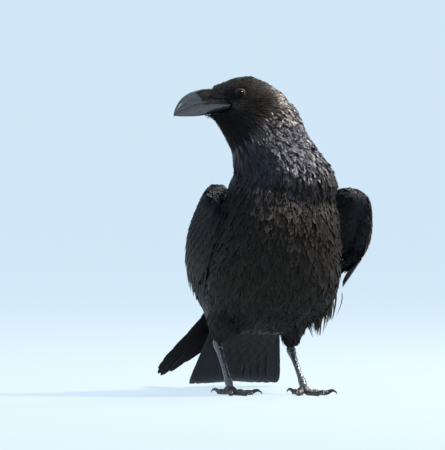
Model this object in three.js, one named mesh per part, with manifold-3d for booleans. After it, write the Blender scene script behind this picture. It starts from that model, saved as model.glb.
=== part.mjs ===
// A life-size model of a raven, standing on both feet and the tip of its tail, with its head
// turned to its right and its wings held loosely, the right one drooping.
//
// Millimetres, +Z up. The bird faces -Y and its left side is +X. Everything is drawn in the
// "stance" frame, whose origin is on the floor under the middle of the body. At the end the
// whole group is moved so that the origin is at the bottom centre of its bounding box.

import * as THREE from "three";
import Module from "manifold-3d";

const wasm = await Module();
wasm.setup();

// ---------------------------------------------------------------- driving dimensions

const GAP = 0.3; // between neighbouring pieces
const BODY_SIDES = 20; // corners round the trunk and the neck
const BODY_STEPS = 2; // rings between two named sections of the body

const EYE_MIDDLE = new THREE.Vector3(-50.5, -25, 391.6); // midway between the eyes
const HEAD_TURN = 102; // degrees, from straight ahead towards the bird's right
const EYE_RADIUS = 6.6;
const EYE_APART = 37.2; // between the centres of the eyeballs

const TAIL_COVERTS_END = 92; // along the tail, where the tail feathers come free
const TAIL_LENGTH = 222;
const FEATHER_ROOT_THICK = 1.6;
const FEATHER_TIP_THICK = 0.9;

// ---------------------------------------------------------------- closed surfaces

const smoothly = (list, t) => {
  // The value at t, from 0 to 1, on a Catmull-Rom curve through evenly spaced numbers.
  const at = t * (list.length - 1);
  const i = Math.min(Math.floor(at), list.length - 2);
  const near = (k) => list[Math.max(0, Math.min(list.length - 1, k))];
  const [a, b, c, d] = [near(i - 1), near(i), near(i + 1), near(i + 2)];
  const s = at - i;
  return b + 0.5 * s * (c - a + s * (2 * a - 5 * b + 4 * c - d + s * (3 * (b - c) + d - a)));
};

const degrees = THREE.MathUtils.degToRad;
const lerp = THREE.MathUtils.lerp;
const vector = (x, y, z) => new THREE.Vector3(x, y, z);

// A solid from points and triangles, turned right side out.
function solidFrom(points, faces) {
  let volume = 0;
  for (const [a, b, c] of faces) {
    volume += points[a].dot(points[b].clone().cross(points[c]));
  }
  const outward = volume > 0 ? faces : faces.map(([a, b, c]) => [a, c, b]);
  return new wasm.Manifold(new wasm.Mesh({
    numProp: 3,
    vertProperties: new Float32Array(points.flatMap((p) => p.toArray())),
    triVerts: new Uint32Array(outward.flat()),
  }));
}

// The faces between rings that hold the same number of points.
function facesBetween(rings) {
  const sides = rings[0].length;
  const faces = [];
  for (let r = 0; r < rings.length - 1; r++) {
    for (let s = 0; s < sides; s++) {
      const next = (s + 1) % sides;
      const [a, b] = [r * sides + s, r * sides + next];
      const [c, d] = [a + sides, b + sides];
      faces.push([a, b, d], [a, d, c]);
    }
  }
  return faces;
}

// A closed surface through rings, with flat ends.
function closedOver(rings) {
  const sides = rings[0].length;
  const points = rings.flat();
  const faces = facesBetween(rings);
  for (const [ring, first] of [[rings[0], 0], [rings.at(-1), (rings.length - 1) * sides]]) {
    const middle = ring.reduce((sum, p) => sum.add(p), vector(0, 0, 0)).divideScalar(sides);
    points.push(middle);
    for (let s = 0; s < sides; s++) {
      const [a, b] = [first + s, first + ((s + 1) % sides)];
      faces.push(first === 0 ? [points.length - 1, b, a] : [points.length - 1, a, b]);
    }
  }
  return solidFrom(points, faces);
}

// A closed sheet through thin rings, each of which goes out along one side of the sheet and
// back along the other.
function sheetOver(rings) {
  const sides = rings[0].length;
  const faces = facesBetween(rings);
  const last = (rings.length - 1) * sides;
  for (let s = 0; s < sides / 2 - 1; s++) {
    const [a, b, c, d] = [s, s + 1, sides - 2 - s, sides - 1 - s];
    faces.push([a, d, c], [a, c, b]);
    faces.push([last + a, last + c, last + d], [last + a, last + b, last + c]);
  }
  return solidFrom(rings.flat(), faces);
}

// One ring: an oval about its middle, with half axes "long" and "wide". A taper above 0 makes
// it wider towards +long, and a squareness above 1 fills its corners.
function oval(middle, long, wide, sides, taper = 0, squareness = 1) {
  const ring = [];
  for (let s = 0; s < sides; s++) {
    const angle = (2 * Math.PI * s) / sides;
    const [c, n] = [Math.cos(angle), Math.sin(angle)];
    const along = Math.sign(c) * Math.abs(c) ** (1 / squareness);
    const across = Math.sign(n) * Math.abs(n) ** (1 / squareness) * (1 + taper * along);
    ring.push(middle.clone().addScaledVector(long, along).addScaledVector(wide, across));
  }
  return ring;
}

// The body's outline is drawn as sections: each runs from one point to another, "from" and
// "to", and has a half width. place() puts a section's flat point into the stance frame.
function throughSections(sections, { place, sideways, sides = BODY_SIDES, steps = BODY_STEPS, grow = 0 }) {
  const column = (key) => sections.map((section) => section[key]);
  const read = (key, index, t) => smoothly(column(key).map((v) => (index === null ? v : v[index])), t);
  const rings = [];
  const count = (sections.length - 1) * steps;
  for (let k = 0; k <= count; k++) {
    const t = k / count;
    const from = place(read("from", 0, t), read("from", 1, t));
    const to = place(read("to", 0, t), read("to", 1, t));
    const middle = from.clone().add(to).multiplyScalar(0.5);
    const long = to.clone().sub(from).multiplyScalar(0.5);
    long.setLength(long.length() + grow);
    const wide = sideways.clone().multiplyScalar(read("half", null, t) + grow);
    const taper = read("taper", null, t);
    rings.push(oval(middle, long, wide, sides, taper, read("square", null, t)));
  }
  return closedOver(rings);
}

// A tube of oval section along a list of { at, wide, deep } stations. "up" is the way of deep.
function tube(stations, up, sides = 10, steps = 2) {
  const rings = [];
  const count = (stations.length - 1) * steps;
  const read = (pick, t) => smoothly(stations.map(pick), t);
  const point = (t) => vector(read((s) => s.at.x, t), read((s) => s.at.y, t), read((s) => s.at.z, t));
  for (let k = 0; k <= count; k++) {
    const t = k / count;
    const ahead = point(Math.min(1, t + 0.01)).sub(point(Math.max(0, t - 0.01))).normalize();
    const across = ahead.clone().cross(up).normalize();
    const deep = across.clone().cross(ahead).normalize();
    across.multiplyScalar(read((s) => s.wide, t));
    rings.push(oval(point(t), deep.multiplyScalar(read((s) => s.deep, t)), across, sides));
  }
  return closedOver(rings);
}

// A ball, with a small flat at each pole.
const BALL_STEPS = 5;
const BALL_SIDES = 10;
const BALL_FLAT = 0.04; // share of the half turn that each flat takes

const ball = (middle, radius) => {
  const rings = [];
  for (let k = 0; k <= BALL_STEPS; k++) {
    const angle = Math.PI * lerp(BALL_FLAT, 1 - BALL_FLAT, k / BALL_STEPS);
    const level = middle.clone().add(vector(0, 0, -Math.cos(angle) * radius));
    const round = Math.sin(angle) * radius;
    rings.push(oval(level, vector(round, 0, 0), vector(0, round, 0), BALL_SIDES));
  }
  return closedOver(rings);
};

// ---------------------------------------------------------------- joining and cutting

const joined = (solids) => solids.reduce((all, one) => all.add(one));
const largest = (solid) => solid.decompose().sort((a, b) => b.volume() - a.volume())[0];
const unit = ([x, y, z]) => vector(x, y, z).normalize().toArray();

// The two sides of a thin cut through a point: first the side that the normal points to.
function cutThrough(solid, normal, point) {
  const n = unit(normal);
  const offset = vector(...n).dot(point);
  const back = n.map((v) => -v);
  return [
    largest(solid.trimByPlane(n, offset + GAP / 2)),
    largest(solid.trimByPlane(back, -(offset - GAP / 2))),
  ];
}

const aboveFloor = (solid) => solid.trimByPlane([0, 0, 1], 0);

// ---------------------------------------------------------------- materials

const looks = (color, roughness) => new THREE.MeshStandardMaterial({ color, roughness, metalness: 0 });
const MATERIALS = {
  plumage: looks(0x17161a, 0.5),
  flight: looks(0x121318, 0.38),
  bill: looks(0x23252a, 0.42),
  legs: looks(0x1d1f24, 0.55),
  claws: looks(0x141416, 0.35),
  eyes: looks(0x1e120c, 0.08),
};

const raven = new THREE.Group();
const SLIVER = 0.12; // edges shorter than this are closed up

function addNode(name, solid, material) {
  const { vertProperties, triVerts, numProp } = solid.simplify(SLIVER).getMesh();
  const positions = new Float32Array((vertProperties.length / numProp) * 3);
  for (let i = 0; i < positions.length / 3; i++) {
    positions.set(vertProperties.subarray(i * numProp, i * numProp + 3), i * 3);
  }
  const geometry = new THREE.BufferGeometry();
  geometry.setAttribute("position", new THREE.BufferAttribute(positions, 3));
  geometry.setIndex(new THREE.BufferAttribute(triVerts, 1));
  const mesh = new THREE.Mesh(geometry, material);
  mesh.name = name;
  raven.add(mesh);
}

// ---------------------------------------------------------------- trunk

// Sections from the root of the tail, over the belly and breast, up to the root of the neck.
// Each runs from the underside to the back, as (y, z) in the bird's plane of symmetry.
const TRUNK_SECTIONS = [
  { from: [125, 108], to: [131, 124], half: 22, taper: 0, square: 1 },
  { from: [104, 92], to: [121, 139], half: 44, taper: -0.05, square: 1.05 },
  { from: [60, 80], to: [106, 159], half: 64, taper: -0.14, square: 1.08 },
  { from: [8, 82], to: [91, 185], half: 79, taper: -0.2, square: 1.1 },
  { from: [-42, 112], to: [73, 213], half: 84, taper: -0.2, square: 1.1 },
  { from: [-73, 158], to: [51, 242], half: 81, taper: -0.18, square: 1.08 },
  { from: [-86, 204], to: [29, 265], half: 76, taper: -0.14, square: 1.05 },
  { from: [-87, 243], to: [14, 284], half: 70, taper: -0.08, square: 1.02 },
  { from: [-78, 274], to: [3, 299], half: 59, taper: 0, square: 1 },
  { from: [-60, 294], to: [-14, 305], half: 36, taper: 0, square: 1 },
];

const trunkGrownBy = (grow) => throughSections(TRUNK_SECTIONS, {
  place: (y, z) => vector(0, y, z),
  sideways: vector(1, 0, 0),
  grow,
});

// Three ragged tufts hang from the left flank. Each is a cone, given by its tip.
const FLANK_TUFTS = [[75, 9, 94], [62, 12, 76], [53, 13, 84]];
const TUFT_RISE = vector(-7, -12, 40); // from the tip to the root, inside the body
const TUFT_RADII = [1.2, 5, 7.5];

const flankTuft = (tip) => tube(TUFT_RADII.map((radius, i) => ({
  at: vector(...tip).addScaledVector(TUFT_RISE, i / 2),
  wide: radius,
  deep: radius,
})), vector(0, 1, 0), 8, 1);

// ---------------------------------------------------------------- head and neck

// The head's own plane holds the bill. A point in it is given as how far it lies ahead of the
// eyes and how far above them.
const AHEAD = vector(-Math.sin(degrees(HEAD_TURN)), -Math.cos(degrees(HEAD_TURN)), 0);
const HEAD_SIDE = vector(0, 0, 1).cross(AHEAD).normalize(); // towards the left eye
const inHead = (ahead, above, aside = 0) => EYE_MIDDLE.clone()
  .addScaledVector(AHEAD, ahead)
  .addScaledVector(HEAD_SIDE, aside)
  .add(vector(0, 0, above));

// Sections from inside the breast up the neck, each from the throat to the nape, and over the
// head to the root of the bill, each from the chin to the crown.
const NECK_SECTIONS = [
  { from: [-6, -162], to: [-108, -164], half: 42, taper: 0, square: 1 },
  { from: [2, -139], to: [-121, -141], half: 46, taper: 0, square: 1 },
  { from: [5, -118], to: [-127, -120], half: 48, taper: 0, square: 1.05 },
  { from: [8, -97], to: [-119, -99], half: 47.5, taper: 0, square: 1.05 },
  { from: [13, -75], to: [-102, -75], half: 45.5, taper: 0, square: 1.05 },
  { from: [19, -58], to: [-87, -55], half: 43, taper: 0, square: 1.05 },
  { from: [26, -45], to: [-80, -36], half: 39.5, taper: 0, square: 1.05 },
  { from: [32.5, -35.5], to: [-72, -19], half: 36, taper: 0.04, square: 1.05 },
  { from: [38.5, -30], to: [-57.5, -2], half: 30.5, taper: -0.06, square: 1.05 },
  { from: [43, -29.2], to: [-37, 12.5], half: 25.4, taper: -0.08, square: 1.05 },
  { from: [46, -29], to: [-14.5, 22.5], half: 21.6, taper: -0.1, square: 1.05 },
  { from: [48, -28.6], to: [5.5, 20.5], half: 18.4, taper: -0.1, square: 1.05 },
  { from: [49.5, -27.8], to: [20, 15], half: 14.8, taper: -0.08, square: 1.05 },
  { from: [50.5, -25.6], to: [35, 9.6], half: 12.4, taper: -0.04, square: 1.05 },
];

const headAndNeck = throughSections(NECK_SECTIONS, {
  place: (ahead, above) => inHead(ahead, above),
  sideways: HEAD_SIDE,
  steps: 1,
});

// ---------------------------------------------------------------- bill

// Sections along the bill, from inside the face to the tip: distance ahead of the eyes, top and
// bottom edges above them, and half the width.
const UPPER_BILL = [
  [8, 1, -12.2, 13.4],
  [16, 4, -11, 12.6],
  [27, 5.6, -10.2, 11.4],
  [38, 5.2, -10.8, 10],
  [50, 4.6, -12.9, 8.5],
  [62, 2.4, -16, 7],
  [72, -3, -20.6, 5.4],
  [79, -10.2, -24.6, 3.9],
  [83.7, -18.6, -27.6, 2.4],
  [86, -25.6, -30.4, 1.1],
];
const LOWER_BILL = [
  [8, -11.4, -19.4, 13],
  [16, -10.4, -22.8, 12],
  [27, -9.6, -24.8, 10.5],
  [38, -10, -26.2, 8.9],
  [50, -11.8, -28.6, 7.3],
  [62, -15, -29.5, 5.7],
  [72, -19.6, -29.7, 4.1],
  [79, -23.7, -29.5, 2.7],
  [83, -26.8, -29.2, 1.3],
];
const MANDIBLE_GAP = 0.35;
const BILL_SIDES = 12;

function billHalf(stations, taper, grow = 0) {
  const sections = stations.map(([ahead, top, bottom, half]) => ({
    from: [ahead, bottom], to: [ahead, top], half, taper, square: 1.15,
  }));
  return throughSections(sections, {
    place: (ahead, above) => inHead(ahead, above),
    sideways: HEAD_SIDE,
    sides: BILL_SIDES,
    steps: 1,
    grow,
  });
}

const upperBill = billHalf(UPPER_BILL, -0.28);
const lowerBill = billHalf(LOWER_BILL, 0.2).subtract(billHalf(UPPER_BILL, -0.28, MANDIBLE_GAP));
const billSocket = billHalf(UPPER_BILL, -0.28, GAP).add(billHalf(LOWER_BILL, 0.2, GAP));

// The face is open round the bare part of the bill, back to the corner of the mouth: an outline
// in the head's plane, cut straight through.
const MOUTH_OUTLINE = [
  [10.5, -14.5], [14, -10.4], [20, -7.8], [34, -6.8], [50, -7.6], [76, -8], [76, -30], [50, -29],
  [38, -26.4], [26, -25], [16, -23], [11.5, -19.5],
];
const MOUTH_HALF = 30;
const mouth = closedOver([-MOUTH_HALF, MOUTH_HALF].map(
  (aside) => MOUTH_OUTLINE.map(([ahead, above]) => inHead(ahead, above, aside))));

const EYES = { left_eye: 1, right_eye: -1 };
const eyeMiddle = (side) => inHead(0, 0, (side * EYE_APART) / 2);
const eyeSockets = joined(Object.values(EYES).map((side) => ball(eyeMiddle(side), EYE_RADIUS + GAP)));

// ---------------------------------------------------------------- legs and feet

// Each leg: where the thigh leaves the body, the heel, the knuckle over the toes, and the way
// each toe points, in degrees from straight ahead towards the bird's left. Toe 1 points back.
const LEGS = {
  right: {
    thigh: [[-36, 20, 128, 40], [-50, 30, 104, 30], [-60, 43, 83, 16], [-64.4, 53, 69, 8]],
    heel: vector(-64.2, 54.5, 67),
    knuckle: vector(-57.2, 12, 14),
    toes: [200, 70, 20, -7],
  },
  left: {
    thigh: [[30, 10, 126, 34], [30, 22, 101, 24], [31, 32, 78, 13], [31.2, 38.6, 60, 8]],
    heel: vector(31, 39.4, 58),
    knuckle: vector(36.5, -9, 14),
    toes: [196, -24, 16, 66],
  },
};
const TOE_LENGTHS = [27, 31, 43, 34];
const CLAW_LENGTHS = [19, 14, 16, 13];
const TOE_RADIUS = 4.3;
const TARSUS_FLATNESS = 0.86; // width across a leg, as a share of its depth
const HEEL_RADIUS = 6.6;
const KNUCKLE_RADIUS = 5.6;
const TOE_START = 6.8; // from the middle of the knuckle, which is as wide
const TOE_END_CUT = 1.5; // the toe stops this much short, and its claw starts there
const FLAT_DEPTH = 0.5; // how much of each toe pad is cut away at the floor
const TOE_TAPER = 0.26; // how much thinner a toe is at its end, as a share of TOE_RADIUS
const PAD_SWELL = 0.16; // how much a pad swells, as a share of TOE_RADIUS
const TOE_LIFT = 7; // how high a toe starts above the floor, at the knuckle
const TOE_LIFTED = 0.4; // share of a toe's length that slopes down to the floor
const CLAW_RADIUS = 2.7;
const CLAW_TIP_RADIUS = 0.35;
const CLAW_TURN = 1.35; // radians that a claw bends over its length
const CLAW_HEIGHTS = [3.6, 5.3, 6.1, 5.5, 3.5, 1.2]; // of its middle line, from root to tip

// A feathered thigh: a cone from the belly, cut square just above the heel.
function thighSolid({ thigh, heel }) {
  const cone = tube(thigh.map(([x, y, z, r]) => ({ at: vector(x, y, z), wide: r, deep: r * 1.12 })),
    vector(0, 1, 0.4), 14, 2);
  const [x, y, z] = thigh.at(-2);
  const upward = vector(x, y, z).sub(heel).normalize();
  return cone.trimByPlane(upward.toArray(), upward.dot(heel) + HEEL_RADIUS + GAP);
}

// A tarsus: from the swollen heel down to the knuckle, which is rounded off underneath.
function tarsusSolid({ heel, knuckle }) {
  const shaft = [
    [-0.09, 2.4], [-0.06, 4.6], [0.01, HEEL_RADIUS], [0.12, 6], [0.24, 4.7], [0.5, 4.1], [0.78, 4.4],
    [0.92, 5.6], [1, KNUCKLE_RADIUS], [1.07, 4.6], [1.1, 2.2],
  ].map(([t, r]) => ({ at: heel.clone().lerp(knuckle, t), wide: r * TARSUS_FLATNESS, deep: r }));
  return tube(shaft, vector(0, -1, 0.6), 10, 1);
}

const heading = (angle) => vector(Math.sin(degrees(angle)), -Math.cos(degrees(angle)), 0);

// A toe: out from the knuckle, over its joints, with a swollen pad under each of them. It is
// cut square near the knuckle, and its neighbours meet it half way between them.
function toeSolid(leg, number) {
  const way = heading(leg.toes[number - 1]);
  const length = TOE_LENGTHS[number - 1];
  const pads = number === 1 ? 2 : 3;
  const stations = [];
  const steps = pads * 2 + 1;
  for (let k = 0; k <= steps; k++) {
    const t = k / steps;
    const swell = 0.5 - 0.5 * Math.cos(2 * Math.PI * pads * (t + 0.02));
    const radius = TOE_RADIUS * (1 - TOE_TAPER * t) * (0.88 + PAD_SWELL * swell);
    const lift = TOE_LIFT * Math.max(0, 1 - t / TOE_LIFTED) ** 2;
    const at = leg.knuckle.clone().addScaledVector(way, t * length);
    at.z = radius - FLAT_DEPTH + lift;
    stations.push({ at, wide: radius * 0.94, deep: radius });
  }
  const middle = way.dot(leg.knuckle);
  let toe = tube(stations, vector(0, 0, 1), 8, 1)
    .trimByPlane(way.toArray(), middle + TOE_START)
    .trimByPlane(way.clone().negate().toArray(), -(middle + length - TOE_END_CUT));
  for (const other of leg.toes.filter((angle) => angle !== leg.toes[number - 1])) {
    const apart = way.clone().sub(heading(other)).normalize();
    toe = toe.trimByPlane(apart.toArray(), apart.dot(leg.knuckle) + GAP / 2);
  }
  return aboveFloor(toe);
}

// A claw: a cone bent down in an arc from the end of its toe, just clear of the floor.
function clawSolid(leg, number) {
  const way = heading(leg.toes[number - 1]);
  const length = CLAW_LENGTHS[number - 1];
  const start = leg.knuckle.clone().addScaledVector(way, TOE_LENGTHS[number - 1] - TOE_END_CUT + GAP);
  const stations = [];
  const steps = CLAW_HEIGHTS.length - 1;
  for (let k = 0; k <= steps; k++) {
    const t = k / steps;
    const at = start.clone().addScaledVector(way, length * Math.sin(CLAW_TURN * t));
    const radius = CLAW_RADIUS * (1 - t) ** 0.85 + CLAW_TIP_RADIUS;
    at.z = CLAW_HEIGHTS[k];
    stations.push({ at, wide: radius * 0.8, deep: radius });
  }
  return tube(stations, vector(0, 0, 1), 6, 1)
    .trimByPlane(way.toArray(), way.dot(start));
}

// ---------------------------------------------------------------- feathers

// Flight feathers lie side by side as one stepped sheet. Each shows a strip, from "from" at
// its root to "to" at its tip, as places [along, across] on the sheet. "half" is half its width
// and "out" its height, each at its root and at its tip. "blunt" is how much shorter its edges
// are than its tip.
// place(along, across, out) puts a point of the sheet into the stance frame.
const FAN_STEPS = 5;

function fanSheet(feathers, place) {
  const columns = feathers.flatMap(({ from, to, half, blunt, out }) => [-1, 0, 1].map((edge) => ({
    from: [from[0], from[1] + edge * half[0], out[0]],
    to: [to[0] - Math.abs(edge) * blunt, to[1] + edge * half[1], out[1]],
  })));
  const rings = [];
  for (let k = 0; k <= FAN_STEPS; k++) {
    const t = k / FAN_STEPS;
    const thick = FEATHER_ROOT_THICK + (FEATHER_TIP_THICK - FEATHER_ROOT_THICK) * t ** 2;
    const side = (sign) => columns.map(({ from, to }) => {
      const [along, across, out] = from.map((value, i) => lerp(value, to[i], t));
      return place(along, across, out + (sign * thick) / 2);
    });
    rings.push([...side(1), ...side(-1).reverse()]);
  }
  return sheetOver(rings);
}

// ---------------------------------------------------------------- wings

// A folded wing is a curved sheet that wraps the side of the body. It is drawn by three lines
// from the wrist to the tip, with evenly spaced points: the leading edge, which lies lowest,
// the middle, and the edge that lies on the back. The left wing crosses over the tail.
const WINGS = {
  right: {
    side: -1,
    lowest: [[-76, -54, 238], [-86, -9, 185], [-85, 45, 142], [-74, 101, 102], [-57, 165, 78],
      [-34, 227, 50], [-14, 286, 23]],
    middle: [[-97, -22, 267], [-106, 26, 217], [-96, 82, 170], [-73, 130, 124], [-46, 176, 90],
      [-22, 231, 55], [-3, 290, 26]],
    highest: [[-60, 0, 280], [-42, 54, 242], [-33, 106, 180], [-27, 147, 122], [-14, 184, 87],
      [-2, 234, 53], [8, 287, 28]],
    firstPrimary: { from: [-88, 14, 160], to: [-84, 74, 113] },
  },
  left: {
    side: 1,
    lowest: [[124, -19, 230], [125, 33, 178], [89, 88, 143], [44, 139, 115], [-1, 192, 90],
      [-50, 237, 51], [-92, 290, 5]],
    middle: [[121, -14, 262], [125, 50, 213], [88, 106, 176], [36, 147, 146], [-10, 187, 111],
      [-55, 227, 67], [-96, 284, 21]],
    highest: [[84, -4, 276], [50, 57, 238], [32, 98, 198], [6, 130, 163], [-24, 165, 129],
      [-60, 214, 82], [-96, 277, 35]],
    firstPrimary: { from: [119, 30, 172], to: [115, 113, 136] },
  },
};

// place(along, across, out): along from 0 at the wrist to 1 at the tip, across from 0 at the
// leading edge to 1 on the back, and out in millimetres away from the body.
function wingPlace({ side, lowest, middle, highest }) {
  const on = (line, t) => vector(...[0, 1, 2].map((i) => smoothly(line.map((p) => p[i]), t)));
  const surface = (t, v) => on(lowest, t).multiplyScalar((1 - v) * (1 - 2 * v))
    .addScaledVector(on(middle, t), 4 * v * (1 - v))
    .addScaledVector(on(highest, t), v * (2 * v - 1));
  const small = 0.01;
  return (along, across, out) => {
    const t = Math.min(1, Math.max(0, along));
    const length = surface(Math.min(1, t + small), across).sub(surface(Math.max(0, t - small), across));
    const width = surface(t, across + small).sub(surface(t, across - small));
    const outward = length.cross(width).multiplyScalar(side).normalize();
    return surface(t, across).addScaledVector(outward, out);
  };
}

// The shoulder of the wing, where small feathers lie over the bones: distance along it, lowest
// and highest edge, and thickness, which is all on the inside of the sheet.
const SHOULDER_ACROSS = 7; // points across each face of it
const SHOULDER = [
  [0, 0.34, 0.68, 9],
  [0.014, 0.16, 0.86, 19],
  [0.045, 0.04, 0.97, 26],
  [0.12, 0, 1, 28],
  [0.2, 0, 1, 23],
  [0.28, 0, 0.98, 17],
  [0.335, 0, 0.96, 11],
];

function shoulderSolid(place) {
  const column = (i) => SHOULDER.map((row) => row[i]);
  const rings = [];
  const steps = (SHOULDER.length - 1) * 2;
  for (let k = 0; k <= steps; k++) {
    const t = k / steps;
    const [along, low, high, thick] = [0, 1, 2, 3].map((i) => smoothly(column(i), t));
    const outer = [];
    const inner = [];
    for (let j = 0; j < SHOULDER_ACROSS; j++) {
      const angle = (Math.PI * (j + 0.5)) / SHOULDER_ACROSS;
      const v = (low + high) / 2 - (Math.cos(angle) * (high - low)) / 2;
      const depth = thick * Math.sin(angle) ** 0.6;
      outer.push(place(along, v, (depth - thick) * 0.15));
      inner.unshift(place(along, v, -depth));
    }
    rings.push([...outer, ...inner]);
  }
  return sheetOver(rings);
}

// Flight feathers, from the leading edge up: [along, across] at their tips. The secondaries lie
// over the primaries, and among them each lies over the one below it.
const FREE_FROM = 0.342;
const PRIMARIES = {
  tips: [[0.885, 0.02], [0.97, 0.2], [1, 0.46], [0.975, 0.74], [0.905, 0.95], [0.81, 1.1]],
  roots: [0.03, 0.42],
  blunt: 0.012,
  firstOut: [-9, -5],
  step: 0.7,
};
const SECONDARIES = {
  tips: [[0.62, 0.5], [0.607, 0.6], [0.592, 0.7], [0.575, 0.79], [0.55, 0.87], [0.52, 0.94], [0.48, 1]],
  roots: [0.3, 0.94],
  blunt: 0.014,
  firstOut: [-2.5, -1.5],
  step: 0.6,
};

const STRIP_SHARE = 0.44; // half a strip's width, as a share of the room between it and the next

function wingFan({ tips, roots, blunt, firstOut, step }, place) {
  const rootRoom = (roots[1] - roots[0]) / (tips.length - 1);
  return fanSheet(tips.map((to, i) => {
    const beside = [tips[i - 1], tips[i + 1]].filter(Boolean).map((tip) => Math.abs(tip[1] - to[1]));
    return {
      from: [FREE_FROM, lerp(...roots, i / (tips.length - 1))],
      to,
      half: [rootRoom, Math.min(...beside)].map((room) => room * STRIP_SHARE),
      blunt,
      out: firstOut.map((out) => out + i * step),
    };
  }), place);
}

// The short first primary stands free below the leading edge.
const FIRST_PRIMARY = { from: [0, 0], to: [1, 0], half: [4, 5.4], blunt: 0.16, out: [0, 0] };

function firstPrimarySolid({ side, firstPrimary: { from, to } }) {
  const root = vector(...from);
  const way = vector(...to).sub(root);
  const outward = vector(side, 0, 0);
  const down = way.clone().cross(outward).multiplyScalar(-side).normalize();
  return fanSheet([FIRST_PRIMARY], (along, across, out) => root.clone()
    .addScaledVector(way, along)
    .addScaledVector(down, across * (1 - along ** 3))
    .addScaledVector(outward, out));
}

// ---------------------------------------------------------------- tail

// The tail's middle line from its root to its tip, as (y, z). Its last stretch lies on the
// floor, and it is turned a little to the bird's left.
const TAIL_TURN = 0.06; // sideways for each millimetre back
const TAIL_LINE = new THREE.CatmullRomCurve3([
  [96, 127], [130, 103], [164, 78], [198, 52], [230, 27.5], [256, 9.5], [279, 2.4], [303, 1.9],
].map(([y, z]) => vector(TAIL_TURN * (y - 235), y, z)), false, "centripetal");
const TAIL_LINE_LENGTH = TAIL_LINE.getLength();
const TAIL_ROOF = 0.0011; // how fast its sides fall away from its middle, per millimetre

function tailPlace(along, across, out) {
  const t = Math.min(1, along / TAIL_LINE_LENGTH);
  const point = TAIL_LINE.getPointAt(t);
  const ahead = TAIL_LINE.getTangentAt(t);
  const up = vector(1, 0, 0).cross(ahead).normalize();
  const roof = TAIL_ROOF * across * across * (1 - 0.75 * t);
  return point.add(vector(across, 0, 0)).addScaledVector(up, out - roof);
}

const TAIL_PAIRS = 6;
const TAIL_STEP = 0.75; // each outer feather lies this much lower than its inner neighbour
const TAIL_TOP = 2.9; // height of the middle pair above the tail's middle line
const TAIL_FEATHER = { atRoot: 8.2, atTip: 10.3, half: [3.5, 4.7], blunt: 4 };

function tailFan(from, length) {
  const feathers = [];
  for (let i = -TAIL_PAIRS; i < TAIL_PAIRS; i++) {
    const aside = i + 0.5;
    const pair = Math.abs(aside) - 0.5;
    const out = TAIL_TOP - (pair + (i < 0 ? 0.5 : 0)) * TAIL_STEP;
    feathers.push({
      from: [from, aside * TAIL_FEATHER.atRoot],
      to: [length - 0.5 * pair * pair, aside * TAIL_FEATHER.atTip],
      half: TAIL_FEATHER.half,
      blunt: TAIL_FEATHER.blunt,
      out: [out, out],
    });
  }
  return fanSheet(feathers, tailPlace);
}

// The coverts round the root of the tail: an oval tube along it, which widens and flattens.
const COVERTS = { start: 8, half: [33, 44], thick: [22, 5.2], steps: 7, sides: 16 };

function tailCoverts() {
  const rings = [];
  for (let k = 0; k <= COVERTS.steps; k++) {
    const t = k / COVERTS.steps;
    const along = lerp(COVERTS.start, TAIL_COVERTS_END, t);
    const half = lerp(...COVERTS.half, Math.sin((Math.PI / 2) * t));
    const thick = lerp(...COVERTS.thick, t);
    const ring = [];
    for (let s = 0; s < COVERTS.sides; s++) {
      const angle = (2 * Math.PI * s) / COVERTS.sides;
      ring.push(tailPlace(along, half * Math.cos(angle), thick * Math.sin(angle)));
    }
    rings.push(ring);
  }
  return closedOver(rings);
}

// ---------------------------------------------------------------- the model

const trunk = joined([trunkGrownBy(0), ...FLANK_TUFTS.map(flankTuft)]);
const trunkCutter = trunkGrownBy(GAP);

// Head, neck, breast, belly and back are one body, parted by thin cuts.
const CUTS = {
  headNormal: [...AHEAD.toArray().slice(0, 2), 1.25],
  headPoint: inHead(-24, -36),
  neckNormal: [0, -0.25, 1],
  neckPoint: vector(0, -35, 268),
  bellyNormal: [0, -0.62, 0.78],
  bellyPoint: vector(0, -10, 152),
  backNormal: [0, 0.78, 0.62],
  backPoint: vector(0, 44, 196),
};
const flesh = trunk.add(headAndNeck);
const [head, belowHead] = cutThrough(flesh, CUTS.headNormal, CUTS.headPoint);
const [neck, belowNeck] = cutThrough(belowHead, CUTS.neckNormal, CUTS.neckPoint);
const [back, front] = cutThrough(belowNeck, CUTS.backNormal, CUTS.backPoint);
const [breast, belly] = cutThrough(front, CUTS.bellyNormal, CUTS.bellyPoint);

const face = head.subtract(billSocket).subtract(eyeSockets).subtract(mouth);
addNode("head", largest(face), MATERIALS.plumage);
addNode("upper_bill", upperBill, MATERIALS.bill);
addNode("lower_bill", largest(lowerBill), MATERIALS.bill);
for (const [name, side] of Object.entries(EYES)) {
  addNode(name, ball(eyeMiddle(side), EYE_RADIUS), MATERIALS.eyes);
}
addNode("neck", neck, MATERIALS.plumage);
addNode("back", back, MATERIALS.plumage);
addNode("breast", breast, MATERIALS.plumage);

const fleshCutter = trunkCutter.add(headAndNeck);
for (const [side, leg] of Object.entries(LEGS)) {
  const tarsus = tarsusSolid(leg);
  addNode(side + "_thigh", largest(thighSolid(leg).subtract(fleshCutter)), MATERIALS.plumage);
  addNode(side + "_tarsus", tarsus, MATERIALS.legs);
  for (const number of [1, 2, 3, 4]) {
    addNode(side + "_toe_" + number, toeSolid(leg, number), MATERIALS.legs);
    addNode(side + "_claw_" + number, clawSolid(leg, number), MATERIALS.claws);
  }
}

const coverts = tailCoverts();
addNode("belly", belly, MATERIALS.plumage);
addNode("tail_coverts", largest(coverts.subtract(fleshCutter)), MATERIALS.plumage);
addNode("tail", largest(aboveFloor(tailFan(TAIL_COVERTS_END + GAP, TAIL_LENGTH))), MATERIALS.flight);

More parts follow.
